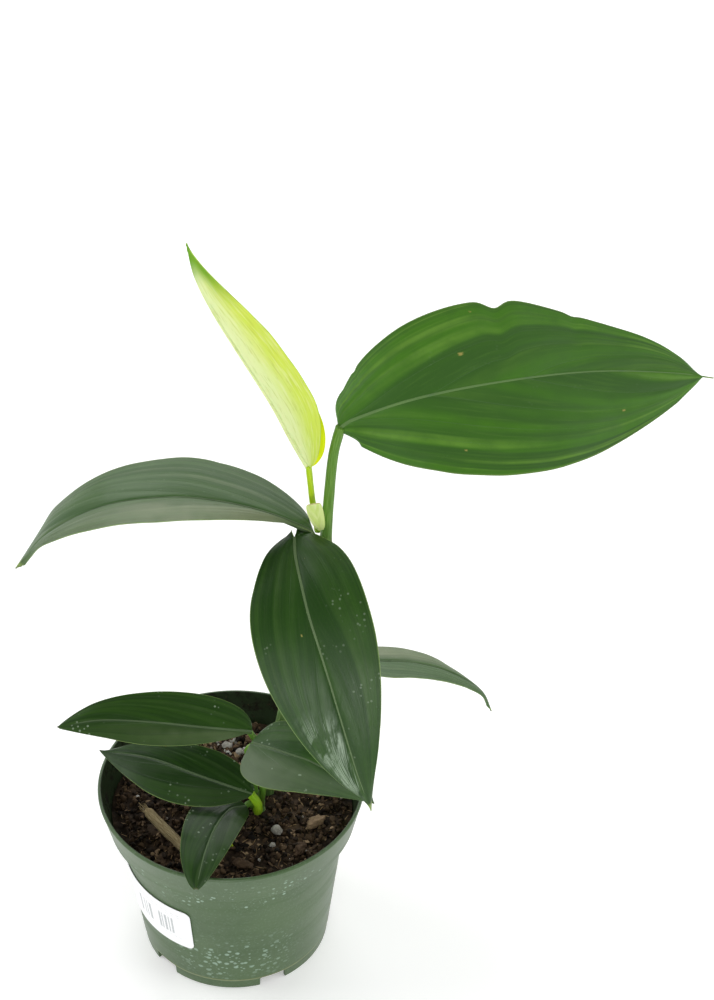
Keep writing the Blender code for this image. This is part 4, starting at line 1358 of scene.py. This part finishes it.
@dataclass
class Scatter:
    """Many small crumbs lying on the soil, as one piece."""

    name: str
    count: int
    finish: CrumbFinish
    slot: str
    size: tuple[float, float]
    stretch: tuple[float, float]
    flat: tuple[float, float]
    faces: int = 1
    tilt: float = 0.5
    sink: float = 0.25
    seed: int = 1
    patch: tuple[float, float, float] | None = None
    rough: float = 0.28
    drop: float = 30.0

    def build(self, ground: BVHTree, reach: float) -> Piece:
        """Model one crumb, copy it and strew the copies.

        Args:
            ground: The soil's surface, in world metres.
            reach: Radius in mm that the crumbs stay within.

        Returns:
            The piece.
        """
        clear_selection()
        bpy.ops.mesh.primitive_ico_sphere_add(subdivisions=self.faces, radius=0.5)
        piece = added(self.name)
        shape = coordinates(piece)
        add_modifier(piece, "ARRAY", count=self.count, use_relative_offset=False, use_merge_vertices=False)
        draw = random.Random(self.seed)
        corners, shades = [], []
        centre_x, centre_y, radius = self.patch or (0.0, 0.0, reach - self.size[1] * 0.7)
        for _ in range(self.count):
            angle, far = draw.uniform(0, 2 * math.pi), radius * math.sqrt(draw.random())
            x, y = centre_x + far * math.cos(angle), centre_y + far * math.sin(angle)
            size = draw.uniform(*self.size)
            scale = np.array((size * draw.uniform(*self.stretch), size, size * draw.uniform(*self.flat)))
            lumps = np.array([[1 + draw.uniform(-self.rough, self.rough)] for _ in range(len(shape))])
            turn = Matrix.Rotation(draw.uniform(0, 2 * math.pi), 3, "Z")
            for axis in "YX":
                turn = turn @ Matrix.Rotation(draw.gauss(0, self.tilt), 3, axis)
            above = STAND.on_soil(np.array((x, y, self.drop)))
            hit = ground.ray_cast(Vector(above), Vector((0, 0, -1)))[0]
            level = hit.z if hit else above[2] - self.drop * MM
            base = np.array((above[0], above[1], level + scale[2] * (0.5 - self.sink) * MM))
            corners.append((shape * scale * lumps) @ np.array(turn).T * MM + base)
            shades.append(draw.random())
        place(piece, np.vstack(corners))
        shade = np.repeat(np.array(shades), len(shape))
        write_uv(piece, shade, shade)
        dress(piece, self.finish.material())
        smooth(piece, 40)
        return settle(piece, self.slot)


@dataclass
class Grain:
    """One larger piece of perlite or bark, in place of its solid."""

    node: str
    finish: CrumbFinish
    slot: str
    lump: float
    swell: float = 1.08

    def build(self) -> Piece:
        """Model the grain inside its solid's box."""
        clear_selection()
        bpy.ops.mesh.primitive_ico_sphere_add(subdivisions=4, radius=0.5)
        piece = added(self.node + "_piece")
        low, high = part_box(self.node)
        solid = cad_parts[self.node]
        spots = np.array([tuple(vertex.co) for vertex in solid.data.vertices])
        middle = (np.array(low) + np.array(high)) / 2
        spread = np.cov((spots[:, :2] - middle[:2]).T)
        turn = 0.5 * math.atan2(2 * spread[0, 1], spread[0, 0] - spread[1, 1])
        axis = np.array((math.cos(turn), math.sin(turn)))
        span_long = float(np.ptp((spots[:, :2] - middle[:2]) @ axis))
        span_wide = float(np.ptp((spots[:, :2] - middle[:2]) @ np.array((-axis[1], axis[0]))))
        shape = coordinates(piece)
        seed = float(sum(ord(letter) for letter in self.node) % 17)
        rough = sample_noise(shape * 2, 0.9, seed, 3)
        shape = shape * (1 + self.lump * rough)[:, None] * self.swell
        local = shape * np.array((span_long, span_wide, high.z - low.z))
        across = np.stack([local[:, 0] * axis[0] - local[:, 1] * axis[1],
                           local[:, 0] * axis[1] + local[:, 1] * axis[0], local[:, 2]], axis=1)
        place(piece, across + middle - np.array((0, 0, 0.25 * (high.z - low.z))))
        shade = np.full(len(shape), 0.35 + 0.4 * (seed / 17))
        write_uv(piece, shade, shade)
        dress(piece, self.finish.material())
        smooth(piece, 35)
        return settle(piece, self.slot, self.node)


@dataclass
class Soil:
    """The potting soil: a rough bed of peat with flakes, fibres, bark and perlite on it."""

    steps: int = 170
    edge_gap: float = 0.35
    waist: float = 46.8
    waist_level: float = 66.5
    foot_radius: float = 38.4
    lumps: tuple[tuple[float, float], ...] = ((11.0, 1.5), (4.2, 1.1), (1.7, 0.65))
    perlite: int = 6
    bark: int = 8

    def bed(self) -> Piece:
        """The bed: a round sheet of soil with its edge drawn down to the pot's floor."""
        low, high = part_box("soil")
        radius = (high.x - low.x) / 2 / MM - self.edge_gap
        piece = grid("soil_bed", self.steps, self.steps)
        flat = coordinates(piece)[:, :2] * 2
        far = np.abs(flat).max(axis=1)
        length = np.linalg.norm(flat, axis=1)
        disc = flat * (far / np.maximum(length, 1e-9))[:, None] * radius
        local = np.column_stack([disc, np.zeros(len(disc))])
        height = sum(depth * sample_noise(local, size, 3.0 + size) for size, depth in self.lumps)
        inward = np.clip((1 - far) / 0.08, 0, 1)
        local[:, 2] = height * (0.35 + 0.65 * inward) - 1.2 * (1 - inward)
        place(piece, STAND.on_soil(local))
        # Painted shade: the bed's colour follows its height, darker in the hollows and lighter on the lumps.
        shade = np.clip(0.42 + 0.22 * height, 0, 1)
        write_uv(piece, shade, shade)
        choose(piece)
        bpy.ops.object.mode_set(mode="EDIT")
        bpy.ops.mesh.select_all(action="SELECT")
        bpy.ops.mesh.region_to_loop()
        centre = (STAND.axis.x, STAND.axis.y, 0.0)
        level = STAND.soil_level
        foot = (low.z - STAND.axis.z) / MM
        for next_radius, next_level in ((self.waist, self.waist_level), (self.foot_radius, foot + 1.0)):
            bpy.ops.mesh.extrude_edges_move()
            scale = next_radius / radius
            bpy.ops.transform.resize(value=(scale, scale, 1.0), center_override=centre)
            bpy.ops.transform.translate(value=(0, 0, (next_level - level) * MM))
            radius, level = next_radius, next_level
        bpy.ops.mesh.edge_face_add()
        bpy.ops.mesh.select_all(action="SELECT")
        bpy.ops.mesh.normals_make_consistent(inside=False)
        bpy.ops.object.mode_set(mode="OBJECT")
        dress(piece, CrumbFinish.PEAT.material())
        smooth(piece, 60)
        return settle(piece, "soil", "soil")

    def build(self) -> Piece:
        """Make the bed and everything that lies on it."""
        bed = self.bed()
        ground = BVHTree.FromObject(bed, bpy.context.evaluated_depsgraph_get())
        low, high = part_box("soil")
        reach = (high.x - low.x) / 2 / MM - 1.0
        strewn = [
            Scatter("peat_crumbs", 1500, CrumbFinish.PEAT, "soil", (0.9, 3.0), (1.0, 1.5), (0.6, 0.9),
                    tilt=0.9, seed=3),
            Scatter("bark_flakes", 900, CrumbFinish.BARK, "bark", (0.7, 2.2), (1.2, 2.4), (0.25, 0.5),
                    tilt=0.6, seed=5),
            Scatter("peat_fibres", 420, CrumbFinish.FIBRE, "bark", (0.25, 0.5), (6.0, 14.0), (0.7, 1.0),
                    tilt=0.25, sink=0.0, seed=7),
            Scatter("perlite_crumbs", 34, CrumbFinish.PERLITE, "perlite", (0.6, 1.6), (1.0, 1.3), (0.7, 0.9),
                    faces=2, seed=9),
            Scatter("perlite_patch", 26, CrumbFinish.PERLITE, "perlite", (1.0, 2.2), (1.0, 1.3), (0.7, 0.9),
                    faces=2, seed=11, patch=(-4.0, 31.0, 9.0)),
            Scatter("bark_patch", 60, CrumbFinish.BARK, "bark", (1.4, 3.0), (1.2, 2.0), (0.4, 0.7),
                    faces=2, seed=13, patch=(-2.0, 33.0, 13.0)),
        ]
        for layer in strewn:
            layer.build(ground, reach)
        for index in range(self.perlite):
            Grain("perlite_%d" % (index + 1), CrumbFinish.PERLITE, "perlite", 0.28).build()
        for index in range(self.bark):
            Grain("bark_%d" % (index + 1), CrumbFinish.BARK, "bark", 0.42).build()
        return bed


@dataclass
class DryStub:
    """A dead cane lying on the soil, frayed at its upper end."""

    radius: tuple[float, float] = (2.6, 2.9)
    strands: int = 11
    strand_length: tuple[float, float] = (3.0, 6.0)
    sag: float = 0.5
    points: int = 60
    strand_points: int = 12

    def build(self) -> Piece:
        """Model the cane along its solid and fray its end."""
        low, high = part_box("dry_stub")
        thick = max(self.radius)
        origin = STAND.on_soil(np.zeros(3))
        west, east = (low.x - origin[0]) / MM + thick, (high.x - origin[0]) / MM - thick
        north, south = (high.y - origin[1]) / MM - thick, (low.y - origin[1]) / MM + thick
        upper, lower = (high.z - origin[2]) / MM - thick, (low.z - origin[2]) / MM + thick
        sagging = ((west + east) / 2, (north + south) / 2, (upper + lower) / 2 - self.sag)
        route = smooth_route([(west, north, upper), sagging, (east, south, lower)], self.points)
        share = np.linspace(0, 1, self.points)
        radii = self.radius[0] * (1 - share) + self.radius[1] * share
        radii = radii * (1 + 0.10 * sample_noise(route, 6.0, 4.0)) * np.clip(0.55 + share * 8, 0, 1) * 0.92
        piece = swept("dry_cane", route, radii, 36, 11, 0.05, 0.85)
        draw = random.Random(21)
        ahead = unit(route[0] - route[4])
        sideways = unit(np.cross(ahead, (0, 0, 1.0)))
        strands = []
        for index in range(self.strands):
            angle = 2 * math.pi * index / self.strands + draw.uniform(-0.3, 0.3)
            ring = sideways * math.cos(angle) + np.array((0, 0, 1.0)) * math.sin(angle) * 0.8
            start = route[3] + ring * draw.uniform(0.4, 1.5)
            length = draw.uniform(*self.strand_length)
            end = start + ahead * length + ring * draw.uniform(0.0, 1.4)
            middle = (start + end) / 2 + ring * draw.uniform(-0.3, 0.6)
            line = smooth_route([tuple(start), tuple(middle), tuple(end)], self.strand_points)
            thin = draw.uniform(0.35, 0.75) * np.linspace(1.0, 0.25, self.strand_points)
            strands.append(swept("strand", line, thin, 7, squash=0.5))
        join(piece, *strands)
        dress(piece, DEAD_CANE.material())
        smooth(piece, 45)
        return settle(piece, "dry_stem", "dry_stub")


@dataclass
class Plant:
    """The two shoots: their stems, petioles and leaves."""

    main_route: tuple[Point, ...] = ((15, 8, -22), (15, 8, 0), (20, 7.5, 30), (28, 6.5, 75), (36, 5.5, 112),
                                     (41, 5, 141))
    crown: Point = (41.3, 5, 144.3)
    side_route: tuple[Point, ...] = ((11.5, -2.5, -22), (11.5, -2.5, -8), (11.5, -2.5, 8))
    main_radii: tuple[float, float] = (3.0, 2.5)
    side_radius: float = 2.6
    least_reach: float = 0.3
    main_rings: tuple[float, ...] = (52, 80, 108, 138)
    side_rings: tuple[float, ...] = (0, 4)
    sprout_route: tuple[Point, ...] = ((1, -25.5, -1), (0.6, -26, 2.2), (-0.6, -26.4, 4.6))
    sprout_radii: tuple[float, float] = (0.9, 0.25)

    def blades(self) -> list[LeafBlade]:
        """Every leaf blade, from the newest down."""
        low_leaf = dict(pleat=0.07, ripple=0.5, crown=1.0, rib=1.0, rows=100, columns=44)
        return [
            LeafBlade("leaf_1_blade",
                      [(35.2, 7, 181.5), (28.9, 7, 195.5), (21.4, 7, 213.5), (9.3, 7, 238), (0.1, 7, 257),
                       (-6.4, 7, 274), (-9, 7, 289)],
                      ((0.86, 0.0, 0.5), (0.86, 0.0, 0.5)), Outline(21, 0.42, 1.6), Outline(16, 0.27, 1.6),
                      (70, 84), NEW_LEAF, "new_leaf", dips=((0.55, 0.16, 0.5, 1),), pleat=0.12, ripple=0.5,
                      rib=0.8, seed=1.0),
            LeafBlade("leaf_2_blade",
                      [(46.5, 8, 200.2), (52, 8.5, 204.5), (78, 11, 213.5), (114, 19, 216), (148, 28, 213.5),
                       (180, 34, 208), (195, 36, 204)],
                      ((0.0, -0.49, 0.88), (0.0, -0.49, 0.88)), Outline(35.2, 0.42, 1.5),
                      Outline(40.3, 0.47, 1.67), (6, 6), BRIGHT_LEAF, rows=180, columns=64, ripple=1.2,
                      crown=2.4, rib=1.3, tail=0.03, seed=2.0,
                      dips=((0.085, 0.006, 0.03, -1), (0.46, 0.028, 0.10, -1), (0.65, 0.014, 0.03, -1),
                            (0.72, 0.15, 0.17, -1))),
            LeafBlade("leaf_3_blade",
                      [(37, 1, 152.5), (35, 0.9, 155.2), (18, 0.5, 164.5), (-1, 0, 170.7), (-20, 0, 172.7),
                       (-46, -3, 170.6), (-68, -6, 159.2), (-82, -8, 142.5)],
                      ((0.0, 0.05, 1.0), (-0.5, 0.29, 0.82)), Outline(23.5, 0.56, 4.2),
                      Outline(28, 0.50, 0.85), (8, 8), GREY_LEAF, rows=140, columns=60, pleat=0.12,
                      ripple=0.5, crown=2.0, seed=3.0),
            LeafBlade("leaf_4_blade",
                      [(29, -3, 154.5), (29.6, -13, 153), (32, -25, 149), (35, -35, 141.5), (39, -43, 131.5),
                       (43.5, -50.5, 118.5), (50.5, -60, 95), (54.5, -63, 80), (59.5, -64, 62.5)],
                      ((-0.14, -0.61, 0.78), (-0.2, -0.9, 0.38)), Outline(24.2, 0.31, 1.7),
                      Outline(25, 0.39, 1.75), (7, 7), GLOSSY_LEAF, rows=150, columns=60, pleat=0.12,
                      crown=2.0, lobe=4.0, seed=4.0),
            LeafBlade("leaf_5_blade",
                      [(42.6, 10, 76.5), (63.5, 18, 67.8), (76.6, 20, 65.3), (92, 20, 60.1), (107, 20, 48.4),
                       (111.4, 19, 37.6)],
                      ((-0.02, 0.22, 0.97), (0.37, 0.22, 0.9)), Outline(12, 0.28, 2.0),
                      Outline(14.5, 0.30, 2.0), (5, 5), GREY_LEAF, seed=5.0, **low_leaf),
            LeafBlade("leaf_6_blade",
                      [(9.5, 1.8, 42.2), (-12, 2, 44.7), (-33, 2, 47.6), (-54, 0, 50.7), (-72, -2, 48.6)],
                      ((0.0, -0.42, 0.92), (0.0, -0.42, 0.92)), Outline(10.6, 0.52, 2.0),
                      Outline(14.7, 0.34, 1.25), (6, 6), PAINTED_SHEEN_LEAF, seed=6.0, **low_leaf),
            LeafBlade("leaf_7_blade",
                      [(10, -13.5, 20), (-12.8, -7.8, 25.5), (-34.6, 3, 25.5), (-56.7, 11.4, 21.5)],
                      ((-0.04, -0.3, 0.96), (-0.04, -0.3, 0.96)), Outline(16.6, 0.47, 2.0),
                      Outline(13.3, 0.32, 1.75), (6, 6), DARK_LEAF, seed=7.0, **low_leaf),
            LeafBlade("leaf_8_blade",
                      [(9.5, -6, 43.5), (16, -11, 46), (27, -18, 48), (35, -22, 48), (49, -27, 41.5),
                       (61, -30, 31.5)],
                      ((0.08, -0.4, 0.93), (0.08, -0.4, 0.93)), Outline(15, 0.31, 1.2),
                      Outline(18.6, 0.25, 1.6), (5, 5), SHEEN_LEAF, seed=8.0, **low_leaf),
            LeafBlade("leaf_9_blade",
                      [(6.5, -10, 9.5), (0, -17, 14.5), (-5.3, -30, 17.8), (-9, -45, 19.2), (-10.6, -55, 19),
                       (-12, -65, 17.6)],
                      ((0.1, -0.1, 1.0), (0.1, -0.1, 1.0)), Outline(10, 0.39, 1.2), Outline(13.5, 0.31, 0.8),
                      (6, 6), DARK_LEAF, seed=9.0, **low_leaf),
            LeafBlade("leaf_1_sheath", [(39.6, 2.6, 153.5), (38, 2.8, 159.5), (36.5, 3.4, 166.5)],
                      ((0.0, -1.0, 0.1), (0.0, -1.0, 0.1)), Outline(3.3, 0.75, 0.5), Outline(3.3, 0.75, 0.5),
                      (10, 10), SHEATH, "sheath", rows=40, columns=20, pleat=0.05, ripple=0.1, crown=0.4,
                      rib=0.0, seed=10.0),
        ]

    def beside(self, main: bool, height: float, angle: float, radius: float) -> Point:
        """Where a petiole leaves its stem: inside the skin, so that no cut end shows.

        Args:
            main: Whether it leaves the main stem.
            height: Height in mm over the soil.
            angle: Side of the stem, in degrees from +X.
            radius: The petiole's radius.

        Returns:
            The place, in mm.
        """
        route = self.main_route if main else self.side_route
        stem_radius = self.main_radii[0] if main else self.side_radius
        low, high = next(pair for pair in zip(route, route[1:]) if pair[0][2] <= height <= pair[1][2])
        share = (height - low[2]) / (high[2] - low[2])
        reach = max(stem_radius - radius, self.least_reach)
        turn = math.radians(angle)
        return (low[0] + (high[0] - low[0]) * share + math.cos(turn) * reach,
                low[1] + (high[1] - low[1]) * share + math.sin(turn) * reach, height)

    def petiole(self, number: int, blade: LeafBlade, start: Point, middle: list[Point],
                radii: tuple[float, float], finish: StalkFinish = GREEN_STALK, slot: str = "stem",
                under: float = 1.2) -> Stalk:
        """One petiole, from its stem to just under the base of its blade.

        Args:
            number: The leaf's number.
            blade: The leaf's blade.
            start: Where it leaves its stem, in mm.
            middle: The places on its way, in mm.
            radii: Its radius at the stem and at the blade.
            finish: Its skin.
            slot: The record's material slot.
            under: How far under the blade it ends, in mm.

        Returns:
            The petiole.
        """
        route, _, ahead, _, face = blade.spine(40)
        end = tuple(route[0] + ahead[0] * 0.8 - face[0] * under)
        return Stalk("leaf_%d_petiole" % number, [start, *middle, end], *radii, finish, slot, swell_end=0.05,
                     seed=float(number))

    def petioles(self, blades: list[LeafBlade]) -> list[Stalk]:
        """Every petiole, in order."""
        return [
            self.petiole(1, blades[0], (38.2, 10.2, 147.5), [(36.3, 10.2, 160.5), (35.5, 8.4, 172)],
                         (1.3, 1.2), LIME_STALK, "young_stem", 0.0),
            self.petiole(2, blades[1], (41.2, 5, 144), [(42.6, 6, 165), (44.6, 7.4, 188)], (2.3, 1.9),
                         under=0.2),
            self.petiole(3, blades[2], self.beside(True, 108, 215, 1.6), [(32.8, 0.6, 125), (35.8, 0.6, 145)],
                         (1.6, 1.3)),
            self.petiole(4, blades[3], self.beside(True, 80, 265, 1.8),
                         [(28, 1, 110), (28.8, 2, 140), (28.8, 1, 149)], (1.8, 1.4), under=1.7),
            self.petiole(5, blades[4], self.beside(True, 52, 20, 1.7), [(33, 8.5, 66)], (1.7, 1.5)),
            self.petiole(6, blades[5], self.beside(False, 3, 150, 1.5), [(9.5, 1.5, 18), (10.8, 2, 36)],
                         (1.5, 1.3)),
            self.petiole(7, blades[6], self.beside(False, 1, 250, 1.7), [(11.4, -10.5, 7), (11.7, -13.2, 14)],
                         (1.9, 1.8), FRESH_STALK, "young_stem"),
            self.petiole(8, blades[7], self.beside(False, 5, 320, 1.5), [(13.5, -5.5, 18), (7.6, -4.4, 36.5)],
                         (1.5, 1.3)),
            self.petiole(9, blades[8], self.beside(False, 0, 200, 1.5), [(7.8, -5.6, 6.5)], (1.4, 1.2)),
        ]

    def build(self) -> None:
        """Make the stems, the petioles, the leaves and the sprout, and dress the roots."""
        Stalk("main_stem", [*self.main_route, self.crown], *self.main_radii, OLD_STEM, "stem",
              swell_start=0.0, rings=self.main_rings, points=200, around=32, seed=20.0).build()
        Stalk("side_stem", list(self.side_route), self.side_radius, self.side_radius, OLD_STEM, "stem",
              swell_start=0.0, rings=self.side_rings, points=80, around=28, seed=21.0).build()
        blades = self.blades()
        for stalk in self.petioles(blades):
            stalk.build()
        for blade in blades:
            blade.build()
        Stalk("sprout", list(self.sprout_route), *self.sprout_radii, LIME_STALK, "young_stem",
              swell_start=0.1, points=30, around=14, seed=22.0).build()
        for name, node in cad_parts.items():
            if "_root_" in name:
                node.data.materials.clear()
                node.data.materials.append(ROOT_SKIN.material(own_uv=False))


@dataclass
class Studio:
    """A plain pale floor, soft light and the camera."""

    camera_from_axis: tuple[float, float, float] = (0.05384, -0.88051, 0.97997)
    look_down: float = 39.9029
    lens: float = 105.0
    clip_start: float = 0.05
    floor_size: float = 8.0
    floor_glow: float = 0.33
    horizon: float = 0.62
    zenith: float = 0.27
    sky_rise: tuple[float, float] = (0.10, 0.65)
    sky: Colour = (1.0, 1.0, 0.985)
    paper: Colour = (0.90, 0.90, 0.90)
    paper_shade: Colour = (0.88, 0.885, 0.89)
    aim: Point = (0.0, 0.0, 0.15)

    def floor(self) -> None:
        """A wide pale floor, just under the pot."""
        clear_selection()
        bpy.ops.mesh.primitive_plane_add(size=self.floor_size, location=(0, 0, CAD_BOX[0].z - 0.0001))
        piece = added("floor")
        bpy.ops.object.transform_apply(location=True, rotation=True, scale=True)
        sheet = Sheet("floor_paper", self.paper, 0.7, Specular_IOR_Level=0.1,
                      Emission_Strength=self.floor_glow)
        sheet.shader.inputs["Emission Color"].default_value = (1.0, 1.0, 1.0, 1.0)
        patches = sheet.remap(sheet.noise(3.0, 3.0), 0.3, 0.7)
        dress(piece, sheet.finish(Base_Color=sheet.mix(patches, self.paper, self.paper_shade)))

    def lamp(self, name: str, place_at: Point, size: tuple[float, float], power: float) -> None:
        """Add one soft rectangular light that faces the plant.

        Args:
            name: The light's name.
            place_at: Its place in metres from the pot's axis.
            size: Its two sides in metres.
            power: Its power in watts.
        """
        data = bpy.data.lights.new(name, "AREA")
        data.shape = "RECTANGLE"
        data.size, data.size_y = size
        data.energy = power
        light = bpy.data.objects.new(name, data)
        bpy.context.scene.collection.objects.link(light)
        light.location = STAND.axis + Vector(place_at)
        light.rotation_euler = (Vector(self.aim) - Vector(place_at)).to_track_quat("-Z", "Y").to_euler()

    def camera(self) -> None:
        """Set up the camera, high in front and looking down."""
        data = bpy.data.cameras.new("camera")
        data.lens = self.lens
        data.clip_start = self.clip_start
        camera = bpy.data.objects.new("camera", data)
        bpy.context.scene.collection.objects.link(camera)
        camera.location = STAND.axis + Vector(self.camera_from_axis)
        camera.rotation_euler = (math.radians(90 - self.look_down), 0.0, 0.0)
        bpy.context.scene.camera = camera

    def surroundings(self) -> None:
        """Light the world softly, brighter at the horizon than overhead."""
        world = bpy.data.worlds.new("studio")
        world.use_nodes = True
        tree = world.node_tree
        background = tree.nodes["Background"]
        background.inputs["Color"].default_value = (*self.sky, 1.0)
        split = tree.nodes.new("ShaderNodeSeparateXYZ")
        ease = tree.nodes.new("ShaderNodeMapRange")
        for socket, value in zip(list(ease.inputs)[1:5], (*self.sky_rise, self.horizon, self.zenith)):
            socket.default_value = value
        tree.links.new(tree.nodes.new("ShaderNodeTexCoord").outputs["Generated"], split.inputs["Vector"])
        tree.links.new(split.outputs["Z"], ease.inputs[0])
        tree.links.new(ease.outputs[0], background.inputs["Strength"])
        bpy.context.scene.world = world

    def build(self) -> None:
        """Set the camera, the floor, the world and the lights."""
        bpy.context.scene.view_settings.view_transform = "Standard"
        self.camera()
        self.floor()
        self.surroundings()
        self.lamp("left_box", (-2.0, 0.5, 1.7), (1.8, 1.8), 28.0)
        self.lamp("right_box", (1.9, -0.2, 1.7), (1.8, 1.8), 21.0)
        self.lamp("back_box", (0.15, 1.9, 1.15), (2.2, 1.3), 22.0)
        self.lamp("front_low", (-0.12, -1.15, 0.24), (0.6, 0.4), 4.0)


def write_sizes() -> None:
    """Bring the view layer up to date."""
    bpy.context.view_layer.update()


STAND = Frame()


def main() -> None:
    """Build the object in order, then its studio."""
    logging.basicConfig(level=logging.INFO, format="%(name)s: %(message)s")
    pot = Pot()
    pot.build()
    Label(pot).build()
    Soil().build()
    DryStub().build()
    Plant().build()
    Studio().build()
    write_sizes()


if __name__ == "__main__":
    main()
